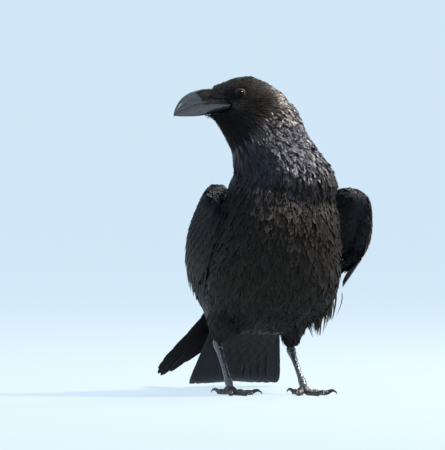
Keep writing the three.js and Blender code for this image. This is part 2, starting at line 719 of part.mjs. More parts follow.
for (const [side, wing] of Object.entries(WINGS)) {
  const place = wingPlace(wing);
  const trimmed = (solid) => largest(solid.subtract(fleshCutter));
  addNode(side + "_wing_shoulder", trimmed(shoulderSolid(place)), MATERIALS.plumage);
  addNode(side + "_wing_secondaries", trimmed(wingFan(SECONDARIES, place)), MATERIALS.flight);
  addNode(side + "_wing_primaries", trimmed(wingFan(PRIMARIES, place)), MATERIALS.flight);
  addNode(side + "_first_primary", firstPrimarySolid(wing), MATERIALS.flight);
}

const box = new THREE.Box3().setFromObject(raven);
raven.position.set(-(box.min.x + box.max.x) / 2, -(box.min.y + box.max.y) / 2, -box.min.z);

export default raven;
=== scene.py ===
"""The looks of the raven: one skin, the feathers over it, and the horn parts, in the CAD frame."""

import itertools
import math

import bpy
import numpy as np
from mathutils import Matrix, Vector
from mathutils.bvhtree import BVHTree


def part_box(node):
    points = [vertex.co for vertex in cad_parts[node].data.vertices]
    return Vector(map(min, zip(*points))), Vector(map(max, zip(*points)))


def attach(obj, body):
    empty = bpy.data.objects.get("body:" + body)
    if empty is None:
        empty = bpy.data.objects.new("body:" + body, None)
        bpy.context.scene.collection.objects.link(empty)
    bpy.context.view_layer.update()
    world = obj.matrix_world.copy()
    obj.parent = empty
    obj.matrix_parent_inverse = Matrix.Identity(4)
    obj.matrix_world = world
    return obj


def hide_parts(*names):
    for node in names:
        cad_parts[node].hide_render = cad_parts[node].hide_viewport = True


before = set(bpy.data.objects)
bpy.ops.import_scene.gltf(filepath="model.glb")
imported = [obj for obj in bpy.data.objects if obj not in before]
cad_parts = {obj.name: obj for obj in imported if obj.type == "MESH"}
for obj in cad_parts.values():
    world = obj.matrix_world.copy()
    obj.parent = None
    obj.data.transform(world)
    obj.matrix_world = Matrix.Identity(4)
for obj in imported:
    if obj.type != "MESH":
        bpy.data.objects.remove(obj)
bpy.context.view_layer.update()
rng = np.random.default_rng(11)
MM = 0.001

# Shapes are worked out in millimetres in the stance frame: origin on the floor under the middle
# of the body, -Y ahead of the bird, +X its left. OFFSET takes a point to the part's own frame.
EYE_MIDDLE = np.array([-50.5, -25.0, 391.6])  # half way between the two
EYE_ASIDE = 18.6  # from there to each eye
EYE_RADIUS = 6.6
HEAD_TURN = math.radians(102)
UP = np.array([0, 0, 1.0])


def centre_of(node):
    low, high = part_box(node)
    return np.array((low + high) / 2) / MM


OFFSET = (centre_of("left_eye") + centre_of("right_eye")) / 2 - EYE_MIDDLE


def to_part(points):
    return (np.asarray(points, float) + OFFSET) * MM


def from_part(points):
    return np.asarray(points, float) / MM - OFFSET


# ---- small tools

def unit(v):
    v = np.asarray(v, float)
    return v / np.maximum(np.linalg.norm(v, axis=-1, keepdims=True), 1e-9)


def mix(a, b, t):
    return a + (b - a) * t


def ramp(low, high, value):
    """0 below low, 1 above high, and a smooth step between."""
    t = np.clip((value - low) / (high - low), 0, 1)
    return t * t * (3 - 2 * t)


def smoothly(rows, t):
    """Catmull-Rom through evenly spaced rows, at each t from 0 to 1."""
    rows = np.asarray(rows, float)
    at = np.clip(np.asarray(t, float), 0, 1) * (len(rows) - 1)
    i = np.minimum(at.astype(int), len(rows) - 2)
    s = (at - i)[..., None] if rows.ndim > 1 else at - i
    last = len(rows) - 1
    a, b = rows[np.maximum(i - 1, 0)], rows[i]
    c, d = rows[np.minimum(i + 1, last)], rows[np.minimum(i + 2, last)]
    return b + 0.5 * s * (c - a + s * (2 * a - 5 * b + 4 * c - d + s * (3 * (b - c) + d - a)))


AHEAD = np.array([-math.sin(HEAD_TURN), -math.cos(HEAD_TURN), 0.0])
HEAD_SIDE = unit(np.cross(UP, AHEAD))


def columns(*values):
    """Numbers or arrays as arrays with a last axis of one, to be scaled by a vector."""
    return (np.asarray(v, float)[..., None] for v in values)


def in_head(ahead, above, aside=0.0):
    """A point by its distance ahead of, above and beside the middle of the two eyes."""
    ahead, above, aside = columns(ahead, above, aside)
    return EYE_MIDDLE + AHEAD * ahead + HEAD_SIDE * aside + UP * above


def grid_faces(rows, cols, closed=False):
    """Quads between rows of points. closed joins each row's last point to its first."""
    r, c = np.meshgrid(np.arange(rows - 1), np.arange(cols if closed else cols - 1), indexing="ij")
    a = r * cols + c
    b = r * cols + (c + 1) % cols
    return np.stack([a, b, b + cols, a + cols], -1).reshape(-1, 4)


def many_faces(count, rows, cols):
    one = grid_faces(rows, cols)
    return (one[None] + (np.arange(count) * rows * cols)[:, None, None]).reshape(-1, 4)


# ---- materials

class Material:
    """A material made of one shader, with short ways to set inputs, add nodes and link them."""

    def __init__(self, name, **constants):
        self.data = bpy.data.materials.new(name)
        self.data.use_nodes = True
        self.tree = self.data.node_tree
        self.shader = self.tree.nodes["Principled BSDF"]
        self.put(self.shader, constants)

    @staticmethod
    def put(node, constants):
        """Keyword names stand for input names: specular_tint for "Specular Tint"."""
        for key, value in constants.items():
            node.inputs[INPUT_NAMES.get(key, key.replace("_", " ").title())].default_value = value

    def node(self, kind, attributes=None, **constants):
        made = self.tree.nodes.new("ShaderNode" + kind)
        for key, value in (attributes or {}).items():
            setattr(made, key, value)
        self.put(made, constants)
        return made

    def link(self, source, output, target, name):
        self.tree.links.new(source.outputs[output], target.inputs[name])

    def painted(self):
        """The colour that the mesh carries."""
        return self.node("Attribute", {"attribute_name": "plume"})

    def blend(self, way, first, second, output):
        """Base colour: two colours multiplied or added."""
        mixed = self.node("Mix", {"data_type": "RGBA", "blend_type": way}, factor=1)
        self.link(first, "Color", mixed, "A")
        self.link(second, output, mixed, "B")
        self.link(mixed, "Result", self.shader, "Base Color")

    def relief(self, source, strength, depth):
        bump = self.node("Bump", strength=strength, distance=depth * MM)
        self.link(source, "Fac", bump, "Height")
        self.link(bump, "Normal", self.shader, "Normal")


INPUT_NAMES = {"specular": "Specular IOR Level"}
MOTTLE_SCALE = 420
MOTTLE = {"to_min": 0.55, "to_max": 1.45}
BARB_WAVE = {"distortion": 2.4, "detail": 3, "detail_scale": 0.6}


def plumage_material(name, roughness, specular, tint, barbs):
    """Feather: its colour comes from the "plume" attribute, and fine barbs run off its shaft."""
    m = Material(name, roughness=roughness, specular=specular, specular_tint=(*tint, 1))
    noise = m.node("TexNoise", scale=MOTTLE_SCALE, detail=3)
    mottle = m.node("MapRange", **MOTTLE)
    m.link(m.node("TexCoord"), "Object", noise, "Vector")
    m.link(noise, "Fac", mottle, "Value")
    m.blend("MULTIPLY", m.painted(), mottle, "Result")
    if barbs:
        wave = m.node("TexWave", {"bands_direction": "Y"}, scale=barbs, **BARB_WAVE)
        m.link(m.node("UVMap", {"uv_map": "Vane"}), "UV", wave, "Vector")
        m.relief(wave, 0.5, 0.25)
    return m.data


def horn_material(name, low, high, rough, scale, specular=0.5, depth=0.12, stretch=(1, 1, 1)):
    """Horn or scaly skin: two tones and two roughnesses that a noise mixes, with a little relief.

    What the "plume" attribute holds is added to its colour.
    """
    m = Material(name, specular=specular)
    squeezed = m.node("Mapping", scale=stretch)
    noise = m.node("TexNoise", scale=scale, detail=6)
    tones = m.node("ValToRGB")
    for element, position, tone in zip(tones.color_ramp.elements, (0.36, 0.7), (low, high)):
        element.position = position
        element.color = (*tone, 1)
    dull = m.node("MapRange", to_min=rough[0], to_max=rough[1])
    m.link(m.node("TexCoord"), "Object", squeezed, "Vector")
    m.link(squeezed, "Vector", noise, "Vector")
    m.link(noise, "Fac", tones, "Fac")
    m.link(noise, "Fac", dull, "Value")
    m.link(dull, "Result", m.shader, "Roughness")
    m.blend("ADD", tones, m.painted(), "Color")
    m.relief(noise, 0.5, depth)
    return m.data


def eye_material():
    """A wet, smooth ball: its colour comes from the "plume" attribute."""
    m = Material("eyeball", roughness=0.05, specular=0.11)
    m.link(m.painted(), "Color", m.shader, "Base Color")
    return m.data


WARM = (1.0, 0.93, 0.86)
COOL = (0.80, 0.86, 1.0)
LILAC = (0.86, 0.84, 1.0)
BARBS = 400
MATERIALS = {
    "soft": plumage_material("soft_plumage", 0.44, 0.11, WARM, BARBS),
    "under": plumage_material("under_tail_plumage", 0.55, 0.08, WARM, BARBS),
    "face": plumage_material("velvety_face", 0.60, 0.07, WARM, 0),
    "crown": plumage_material("crown_plumage", 0.36, 0.26, WARM, 0),
    "hackle": plumage_material("glossy_hackles", 0.30, 0.44, LILAC, BARBS),
    "covert": plumage_material("wing_coverts", 0.36, 0.10, COOL, BARBS),
    "flight": plumage_material("flight_feathers", 0.38, 0.09, COOL, BARBS),
    "skin": plumage_material("skin_under_feathers", 0.85, 0.05, WARM, 0),
    "bill": horn_material("bill_horn", (0.009, 0.010, 0.0125), (0.046, 0.049, 0.056), (0.10, 0.27), 210,
                          specular=0.85, depth=0.22, stretch=(1, 1, 3.2)),
    "leg": horn_material("leg_scales", (0.012, 0.013, 0.016), (0.100, 0.104, 0.114), (0.18, 0.40), 420,
                         specular=0.8),
    "toe": horn_material("toe_scales", (0.009, 0.0085, 0.0085), (0.070, 0.062, 0.055), (0.40, 0.7), 420,
                         specular=0.45, depth=0.3),
    "claw": horn_material("claw_horn", (0.004, 0.004, 0.0045), (0.014, 0.013, 0.013), (0.2, 0.4), 300),
    "lid": horn_material("eyelid_skin", (0.004, 0.004, 0.0045), (0.02, 0.019, 0.02), (0.42, 0.62), 900),
    "eye": eye_material(),
}


# ---- pieces

def add_object(name, data):
    made = bpy.data.objects.new(name, data)
    bpy.context.scene.collection.objects.link(made)
    return made


def make_piece(name, points, faces, material, colour, slot, bake=None, vane=None, replaces=()):
    """colour is one for the whole mesh or one for each point.
    """
    points = np.asarray(points, float).reshape(-1, 3)
    faces = np.asarray(faces, np.int32)
    mesh = bpy.data.meshes.new(name)
    mesh.vertices.add(len(points))
    mesh.vertices.foreach_set("co", to_part(points).astype(np.float32).ravel())
    mesh.loops.add(faces.size)
    mesh.loops.foreach_set("vertex_index", faces.ravel())
    mesh.polygons.add(len(faces))
    starts = np.arange(0, faces.size, faces.shape[1], dtype=np.int32)
    mesh.polygons.foreach_set("loop_start", starts)
    mesh.update(calc_edges=True)
    mesh.shade_smooth()
    rgba = np.ones((len(points), 4), np.float32)
    rgba[:, :3] = colour
    mesh.attributes.new("plume", "FLOAT_COLOR", "POINT").data.foreach_set("color", rgba.ravel())
    for label, uv in (("OFBake", bake), ("Vane", vane)):
        if uv is not None:
            layer = mesh.uv_layers.new(name=label)
            corners = np.asarray(uv, np.float32).reshape(-1, 2)[faces.ravel()]
            layer.uv.foreach_set("vector", corners.ravel())
    mesh.materials.append(MATERIALS[material])
    piece = add_object(name, mesh)
    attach(piece, "root")
    if replaces:
        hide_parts(*replaces)


# ---- the body's axis

# From the root of the bill through head, neck and trunk to the root of the tail.
AXIS = [
    (-92.3, -16.1, 383.6), (-53.4, -24.4, 383.2), (-31.2, -29.1, 364.6), (-17.2, -32, 335),
    (4.3, -36.6, 293.6), (2, -33, 262), (0, -26, 228), (0, -10, 190), (0, 12, 158), (0, 45, 138),
    (0, 85, 125), (-3, 120, 112), (-6, 150, 90),
]
axis_points = smoothly(AXIS, np.linspace(0, 1, 160))
axis_steps = np.linalg.norm(np.diff(axis_points, axis=0), axis=1)
axis_length = np.concatenate([[0], np.cumsum(axis_steps)])
axis_way = unit(np.gradient(axis_points, axis=0))


def nearest_on_axis(points):
    best = np.full(len(points), 1e18)
    index = np.zeros(len(points), int)
    for k, p in enumerate(axis_points):
        far = ((points - p) ** 2).sum(1)
        closer = far < best
        best[closer] = far[closer]
        index[closer] = k
    return index


def bake_uv(points):
    """The unwrap of the skin: length along the body's axis against angle round it."""
    k = nearest_on_axis(points)
    way = axis_way[k]
    side = unit(np.cross(way, np.array([0.15, 1.0, 0.25])))
    up = np.cross(side, way)
    away = points - axis_points[k]
    angle = np.arctan2((away * side).sum(1), (away * up).sum(1))
    return np.stack([0.5 + 0.48 * angle / math.pi, 0.02 + 0.96 * axis_length[k] / axis_length[-1]], 1)


# ---- wings and tail as surfaces

WINGS = {
    "right": {
        "side": -1,
        "lowest": [(-76, -54, 238), (-86, -9, 185), (-85, 45, 142), (-74, 101, 102), (-57, 165, 78),
                   (-34, 227, 50), (-14, 286, 23)],
        "middle": [(-97, -22, 267), (-106, 26, 217), (-96, 82, 170), (-73, 130, 124), (-46, 176, 90),
                   (-22, 231, 55), (-3, 290, 26)],
        "highest": [(-60, 0, 280), (-42, 54, 242), (-33, 106, 180), (-27, 147, 122), (-14, 184, 87),
                    (-2, 234, 53), (8, 287, 28)],
        "first": ((-88, 14, 160), (-84, 74, 113)),
    },
    "left": {
        "side": 1,
        "lowest": [(124, -19, 230), (125, 33, 178), (89, 88, 143), (44, 139, 115), (-1, 192, 90),
                   (-50, 237, 51), (-92, 290, 5)],
        "middle": [(121, -14, 262), (125, 50, 213), (88, 106, 176), (36, 147, 146), (-10, 187, 111),
                   (-55, 227, 67), (-96, 284, 21)],
        "highest": [(84, -4, 276), (50, 57, 238), (32, 98, 198), (6, 130, 163), (-24, 165, 129),
                    (-60, 214, 82), (-96, 277, 35)],
        "first": ((119, 30, 172), (115, 113, 136)),
    },
}


def wrist(side):
    return np.array(WINGS[side]["middle"][0], float)


def placer(place):
    """Lets a place(along, across, out) take numbers or arrays that broadcast together."""
    def any_shape(*values):
        return place(*np.broadcast_arrays(*(np.asarray(v, float) for v in values)))
    return any_shape


def wing_place(wing):
    """place(along, across, out): from wrist to tip, from leading edge to back, and outwards."""
    def surface(t, v):
        v = np.asarray(v, float)[..., None]
        return (smoothly(wing["lowest"], t) * (1 - v) * (1 - 2 * v)
                + smoothly(wing["middle"], t) * 4 * v * (1 - v)
                + smoothly(wing["highest"], t) * v * (2 * v - 1))

    @placer
    def place(along, across, out):
        t = np.clip(along, 0, 1)
        small = 0.01
        length = surface(np.minimum(1, t + small), across) - surface(np.maximum(0, t - small), across)
        width = surface(t, across + small) - surface(t, across - small)
        outward = unit(np.cross(length, width)) * wing["side"]
        return surface(t, across) + outward * out[..., None]

    return place


TAIL_TURN = 0.06
TAIL_LINE = [(96, 127), (130, 103), (164, 78), (198, 52), (230, 27.5), (256, 9.5), (279, 2.4), (303, 1.9)]
tail_line = smoothly([(TAIL_TURN * (y - 235), y, z) for y, z in TAIL_LINE], np.linspace(0, 1, 200))
tail_length = np.concatenate([[0], np.cumsum(np.linalg.norm(np.diff(tail_line, axis=0), axis=1))])
tail_way = unit(np.gradient(tail_line, axis=0))
tail_up = unit(np.cross([1.0, 0, 0], tail_way))


@placer
def tail_place(along, across, out):
    k = np.clip(np.searchsorted(tail_length, along), 0, len(tail_line) - 1)
    t = np.clip(along / tail_length[-1], 0, 1)
    roof = 0.0011 * across ** 2 * (1 - 0.75 * t)
    sideways = np.array([1.0, 0, 0]) * across[..., None]
    return tail_line[k] + sideways + tail_up[k] * (out - roof)[..., None]


# ---- the skin

FLESH = ["head", "neck", "breast", "belly", "back", "right_thigh", "left_thigh", "tail_coverts",
         "right_wing_shoulder", "left_wing_shoulder"]
SKIN_FROM = FLESH + ["left_eye", "right_eye"]
FLANK_TUFTS = [(75, 9, 94), (62, 12, 76), (53, 13, 84)]
TUFT_RISE = np.array([-7, -12, 40.0])  # from a tuft's tip to its root, inside the body
TUFT_REACH = (8, 13)  # how far from a tuft's line the skin is drawn up: wholly, and not at all
BILL_TIP = (66.0, -12.0)  # ahead of the eyes and above them: feathers point away from here
GAP_SHADE = 0.7  # painted shade: how much darker the skin is painted than the feathers over it, for the shade in the gaps under them
GROW = 0.5  # closes the thin cuts between the nodes
VOXEL = 2.1
THIGH_ENDS = {"right": (-64.2, 54.5, 60), "left": (31, 39.4, 50)}
COAT_DEPTH = {"head": 1.2, "neck": 3.6, "breast": 4.8, "belly": 5.4, "back": 4.6, "right_thigh": 2.6,
              "left_thigh": 2.6, "tail_coverts": 2.6, "right_wing_shoulder": 1.8,
              "left_wing_shoulder": 1.8, "left_eye": 1.2, "right_eye": 1.2}


def mesh_arrays(mesh):
    """A mesh's points, in the stance frame, and its normals."""
    points, normals = np.zeros((2, len(mesh.vertices) * 3))
    mesh.vertices.foreach_get("co", points)
    mesh.vertices.foreach_get("normal", normals)
    return from_part(points.reshape(-1, 3)), normals.reshape(-1, 3)


def node_arrays(node):
    mesh = bpy.data.objects[node].data
    return *mesh_arrays(mesh), [tuple(p.vertices) for p in mesh.polygons]


class Skin:
    """The flesh nodes as one smooth closed surface, with what the feathers need to know of it."""

    def __init__(self):
        parts = [node_arrays(node) for node in SKIN_FROM]
        starts = np.cumsum([0] + [len(points) for points, _, _ in parts]).tolist()
        faces = [tuple(start + i for i in face) for start, part in zip(starts, parts) for face in part[2]]
        owner = np.repeat(np.arange(len(parts)), [len(part[2]) for part in parts])
        outer = self.wrap(np.concatenate([p + n * GROW for p, n, _ in parts]), faces)
        tree = BVHTree.FromPolygons([tuple(p) for part in parts for p in part[0]], faces)
        self.region = owner[[tree.find_nearest(Vector(p))[2] for p in outer]]
        depth = np.array([COAT_DEPTH[node] for node in SKIN_FROM])[self.region]
        self.depth = self.spread(depth[:, None], 14)[:, 0]
        self.points = outer - self.normals * self.depth[:, None]
        for tip in np.array(FLANK_TUFTS, float):
            away = outer - tip
            share = np.clip(away @ TUFT_RISE / (TUFT_RISE @ TUFT_RISE), 0, 1)
            beside = np.linalg.norm(away - share[:, None] * TUFT_RISE, axis=1)
            self.points += TUFT_RISE * ((1 - share) * (1 - ramp(*TUFT_REACH, beside)))[:, None]
        self.axis_index = nearest_on_axis(self.points)
        self.distance = axis_length[self.axis_index]
        self.flow = self.lie_of_coat()
        self.tree = BVHTree.FromPolygons([tuple(p) for p in self.points], self.faces.tolist())
        self.face_normals = unit(self.normals[self.faces].mean(1))
        self.face_flow = self.flow[self.faces].mean(1)

    def wrap(self, points, faces):
        """One surface round the nodes: keeps its faces and normals, and gives its points."""
        mesh = bpy.data.meshes.new("joined_flesh")
        mesh.from_pydata([tuple(p) for p in to_part(points)], [], faces)
        joined = add_object("joined_flesh", mesh)
        remesh = joined.modifiers.new("remesh", "REMESH")
        remesh.mode = "VOXEL"
        remesh.voxel_size = VOXEL * MM
        smooth = joined.modifiers.new("smooth", "SMOOTH")
        smooth.factor = 0.5
        smooth.iterations = 9
        shown = joined.evaluated_get(bpy.context.evaluated_depsgraph_get()).to_mesh()
        outer, normals = mesh_arrays(shown)
        self.normals = unit(normals)
        corners = np.zeros(len(shown.loops), np.int32)
        shown.loops.foreach_get("vertex_index", corners)
        self.faces = corners.reshape(-1, 4)
        bpy.data.objects.remove(joined)
        return outer

    def spread(self, values, times):
        """Averages a value over each vertex and its neighbours."""
        a = self.faces.ravel()
        b = np.roll(self.faces, -1, axis=1).ravel()
        count = len(self.normals)
        near = np.bincount(a, minlength=count) + np.bincount(b, minlength=count) + 1.0
        for _ in range(times):
            total = values.copy()
            for i in range(values.shape[1]):
                total[:, i] += np.bincount(a, values[b, i], count) + np.bincount(b, values[a, i], count)
            values = total / near[:, None]
        return values

    def is_in(self, node):
        return self.region == SKIN_FROM.index(node)

    def lie_of_coat(self):
        """The way feathers point: from the bill back, down the body to the tail, and along the limbs."""
        flow = axis_way[self.axis_index].copy()
        from_bill = unit(self.points - in_head(*BILL_TIP))
        on_head = 1 - ramp(60, 105, self.distance)
        flow = mix(flow, from_bill, on_head[:, None])
        for side, end in THIGH_ENDS.items():
            here = self.is_in(side + "_thigh")
            flow[here] = unit(np.array(end) - self.points[here])
            here = self.is_in(side + "_wing_shoulder")
            line = np.array(WINGS[side]["middle"], float)
            middle = smoothly(line, np.linspace(0, 0.6, 40))
            way = unit(np.gradient(middle, axis=0))
            near = ((self.points[here][:, None] - middle[None]) ** 2).sum(2).argmin(1)
            from_wrist = self.points[here] - (middle[0] - way[0] * 30)
            close = 1 - ramp(35, 80, np.linalg.norm(from_wrist, axis=1))
            flow[here] = mix(way[near], unit(from_wrist), close[:, None])
        for _ in range(10):
            flow = self.spread(flow, 2)
            flow -= self.normals * (flow * self.normals).sum(1, keepdims=True)
            flow = unit(flow)
        return flow

    def nearest(self, points):
        """Closest points on the skin, with the normal and lie of the coat there."""
        found = [self.tree.find_nearest(Vector(p)) for p in points]
        index = np.array([f[2] for f in found])
        return np.array([f[0] for f in found]), self.face_normals[index], self.face_flow[index]


skin = Skin()

# ---- colours

# The first colour is the head's brownish black. It is partly its own colour and partly a painted glare of
# light on the crown and nape, which makes it paler.
CROWN_AND_GLARE = np.array((0.0155, 0.0128, 0.0118))
FACE_BLACK = np.array((0.0040, 0.0038, 0.0042))
BLUE_BLACK = np.array((0.0042, 0.0048, 0.0085))
BREAST = np.array((0.0085, 0.0070, 0.0064))
BELLY = np.array((0.0190, 0.0154, 0.0135))
UNDER_TAIL = np.array((0.0085, 0.0070, 0.0061))
WING_BLUE = np.array((0.0046, 0.0060, 0.0102))
WING_BROWN = np.array((0.0092, 0.0078, 0.0072))
FLIGHT = np.array((0.0044, 0.0045, 0.0054))
WORN_EDGE = np.array((0.052, 0.042, 0.035))


def throat_side(points, normals):
    """1 on the side of the neck that the bill is turned to, 0 on the nape."""
    return ramp(-0.25, 0.45, normals @ AHEAD)


def face_shade(points):
    """1 on the lores, the ear coverts, the chin and round the eye, which are painted the darkest of the
    head: on the ear coverts and the chin this is painted shade, under the brow and under the head.
    """
    away = points - EYE_MIDDLE
    ahead, above = away @ AHEAD, away[:, 2]
    ears = np.exp(-((ahead + 22) / 22) ** 2 - ((above + 14) / 13) ** 2)
    lores = np.exp(-((ahead - 9) / 13) ** 2 - ((above + 2) / 8) ** 2)
    chin = ramp(-14, -26, above) * ramp(-30, 0, ahead) * 0.7
    round_eye = np.exp(-(ahead / 9) ** 2 - (above / 9) ** 2)
    return np.clip(1.25 * np.max([ears, lores, chin, round_eye], axis=0), 0, 1)


def coat_colour(points, normals, distance, region):
    """The markings, which skin and feathers share, with painted shade and painted light laid over them.
    """
    # The head starts from the crown's tone, which holds that painted glare.
    colour = mix(CROWN_AND_GLARE, BLUE_BLACK, ramp(70, 120, distance)[:, None])
    # The face's dark spots: painted shade on the ear coverts and the chin.
    colour = mix(colour, FACE_BLACK, (face_shade(points) * (1 - ramp(84, 130, distance)))[:, None])
    # The breast's brown is its own colour. It reaches farther up the neck on the bird's left, the side
    # the key lamp lights, and on faces turned down: that lean to the lit side is a painted tint of light.
    brown_and_lit = ramp(125, 205, distance + 26 * np.clip(normals[:, 0] * 0.6 - normals[:, 2] * 0.2, -1, 1))
    colour = mix(colour, BREAST, brown_and_lit[:, None])
    colour = mix(colour, BELLY, ramp(205, 290, distance)[:, None])
    # Painted shade: faces turned down are painted up to 0.75 darker.
    colour = colour * (1 - 0.75 * ramp(0.2, 0.75, -normals[:, 2]))[:, None]
    back = ramp(0.2, 0.7, normals[:, 1] * 0.8 + normals[:, 2] * 0.6) * ramp(150, 200, distance)
    colour = mix(colour, WING_BLUE, back[:, None])
    names = np.array(SKIN_FROM)[region]
    colour[names == "right_wing_shoulder"] = WING_BLUE
    # Painted light: the left shoulder is painted browner and twice as pale as the right, on a side the
    # lamps leave in shade.
    colour[names == "left_wing_shoulder"] = mix(WING_BLUE, WING_BROWN, 0.5) * 2
    below = names == "tail_coverts"
    colour[below] = mix(WING_BLUE, UNDER_TAIL, ramp(-0.2, 0.2, -normals[below, 2])[:, None])
    return colour


skin_colour = coat_colour(skin.points, skin.normals, skin.distance, skin.region)
# The skin takes the coat's colour, painted darker as the shade under the feathers.
make_piece("skin", skin.points, skin.faces, "skin", skin_colour * GAP_SHADE, "plumage",
           bake=bake_uv(skin.points), replaces=FLESH)

# ---- feathers that grow on the skin

PATCH = 0.003  # a feather's share of the OFBake map
TRIES = 7  # places tried for each feather that the skin has room for
CLOSEST = 0.82  # the smallest gap between two roots, in spacings
NEIGHBOURS = list(itertools.product((-1, 0, 1), repeat=3))


def spread_points(spacing):
    """Places over the skin's faces, no nearer to each other than their spacing."""
    corners = skin.points[skin.faces]
    diagonals = corners[:, 2] - corners[:, 0], corners[:, 3] - corners[:, 1]
    area = np.linalg.norm(np.cross(*diagonals), axis=1) / 2
    face_spacing = spacing[skin.faces].mean(1)
    wanted = area / face_spacing ** 2
    tries = int(wanted.sum() * TRIES)
    chosen = rng.choice(len(wanted), tries, p=wanted / wanted.sum())
    a, b = rng.random((2, tries, 1))
    c = corners[chosen]
    spots = mix(mix(c[:, 0], c[:, 1], a), mix(c[:, 3], c[:, 2], a), b)
    gaps = face_spacing[chosen] * CLOSEST
    cells = (spots // gaps.max()).astype(int)
    taken, kept = {}, []
    for i in np.argsort(gaps, kind="stable"):
        (x, y, z), (u, v, w) = spots[i], cells[i]
        limit = gaps[i] ** 2
        near = (q for du, dv, dw in NEIGHBOURS for q in taken.get((u + du, v + dv, w + dw), ()))
        if not any((x - q[0]) ** 2 + (y - q[1]) ** 2 + (z - q[2]) ** 2 < limit for q in near):
            taken.setdefault((u, v, w), []).append((x, y, z))
            kept.append(i)
    return spots[kept], skin.faces[chosen[kept]][:, 0]


def trace(roots, lengths, turn, steps=6):
    """Spines that start at the roots and follow the lie of the coat over the skin."""
    spine, ups, ways = [], [], []
    point, normal, flow = skin.nearest(roots)
    for _ in range(steps + 1):
        way = unit(flow - normal * (flow * normal).sum(1, keepdims=True))
        way = unit(way + np.cross(normal, way) * turn[:, None])
        spine.append(point)
        ups.append(normal)
        ways.append(way)
        point, normal, flow = skin.nearest(point + way * (lengths / steps)[:, None])
    return np.stack(spine, 1), np.stack(ups, 1), np.stack(ways, 1)


def along_spine(values, s):
    """Values at fractions s along spines: values (n, k, 3), s (n, rows, cols)."""
    steps = values.shape[1] - 1
    at = np.clip(s, 0, 1) * steps
    i = np.minimum(at.astype(int), steps - 1)
    t = (at - i)[..., None]
    n = np.arange(len(values))[:, None, None]
    past = (np.maximum(s, 1) - 1)[..., None]
    last = values[:, -1] - values[:, -2]
    return mix(values[n, i], values[n, i + 1], t) + last[:, None, None] * past * steps


def root_patch(home, c, s):
    """A feather's patch of the OFBake map, at its root's place on the unwrap of the skin."""
    return home + PATCH * np.stack(np.broadcast_arrays(c / 2, s - 0.5), -1)


FINE_ROWS = np.array([0, 0.22, 0.44, 0.64, 0.80, 0.92, 1.0])
FINE_COLS = np.array([-1, -0.84, -0.46, 0, 0.46, 0.84, 1])
SMALL_ROWS = np.array([0, 0.4, 0.8, 1.0])
SMALL_COLS = np.array([-1.0, 0, 1])
CAMBER = 0.12  # how high a feather's middle is arched, against half its width


def vanes(name, spine, ups, ways, length, width, lift, point, colour, material, slot,
          rows=FINE_ROWS, cols=FINE_COLS, fray=0.08, edge=0.3, base_lift=0.15, root_shade=0.5,
          uneven_tone=0.14, uneven_tilt=0.1):
    """One joined mesh of feathers on their spines.

    point is 0 for a round tip and 1 for a lance's. fray is how unevenly the barbs end. lift is
    the height of the tip above the skin, and edge how much paler the worn rims are.
    """
    count = len(spine)
    s, c = rows[None, :, None], cols[None, None, :]
    point = np.broadcast_to(point, count)[:, None, None]
    uneven = rng.normal(0, 1, (count, 1, len(cols))) * fray * s ** 2
    comb = (1 + uneven) * (1 - 0.24 * (1 - point) * c ** 2 * s ** 3)
    reach = np.broadcast_to(s * comb, (count, len(rows), len(cols)))
    rounded = np.sin(np.pi * np.clip(0.18 + 0.58 * s, 0, 1)) ** 0.6 * (1 - 0.3 * s ** 8)
    lance = np.sin(np.pi * np.clip(0.2 + 0.78 * s, 0, 1)) ** 0.8 * (1 - 0.3 * s)
    shape = mix(rounded, lance, point)
    across = np.cross(ways, ups)
    half = (np.broadcast_to(width, count) / 2)[:, None, None]
    position = along_spine(spine, reach)
    up = unit(along_spine(ups, np.minimum(reach, 1)))
    aside = unit(along_spine(across, np.minimum(reach, 1)))
    rise = np.broadcast_to(lift, count)[:, None, None]
    tilt = rng.normal(0, uneven_tilt, (count, 1, 1)) * half
    high = base_lift + (rise - base_lift) * s ** 0.9 + CAMBER * half * (1 - c ** 2) * shape + tilt * c * s
    points = position + aside * (half * shape * c)[..., None] + up * high[..., None]
    tone = np.clip(rng.normal(1, uneven_tone, (count, 1, 1, 1)), 0.6, 1.5)
    streak = np.clip(rng.normal(1, 0.1, (count, 1, len(cols), 1)), 0.7, 1.3)
    # Painted shade: each feather is painted darker towards its root, where the feathers over it cover it.
    shade = (root_shade + (1 - root_shade) * s[..., None]) * tone * streak
    worn = np.clip(np.maximum(ramp(0.86, 1, s), ramp(0.8, 1, np.abs(c)) * ramp(0.3, 0.9, s)), 0, 1)
    rim = edge * np.clip(rng.normal(1, 0.3, (count, 1, 1, 1)), 0.2, 2) * worn[..., None]
    painted = mix(colour[:, None, None] * shade, WORN_EDGE, np.clip(rim, 0, 1))
    painted = np.broadcast_to(painted, (*reach.shape, 3))
    vane = np.stack(np.broadcast_arrays(
        c * half * MM * 0.6,
        (reach * np.broadcast_to(length, count)[:, None, None] - np.abs(c) * half * 1.3) * MM), -1)
    patch = root_patch(bake_uv(spine[:, 0])[:, None, None], c, s)
    patch = np.broadcast_to(patch, (*reach.shape, 2))
    make_piece(name, points, many_faces(count, len(rows), len(cols)), material,
               painted.reshape(-1, 3), slot, bake=patch, vane=vane)


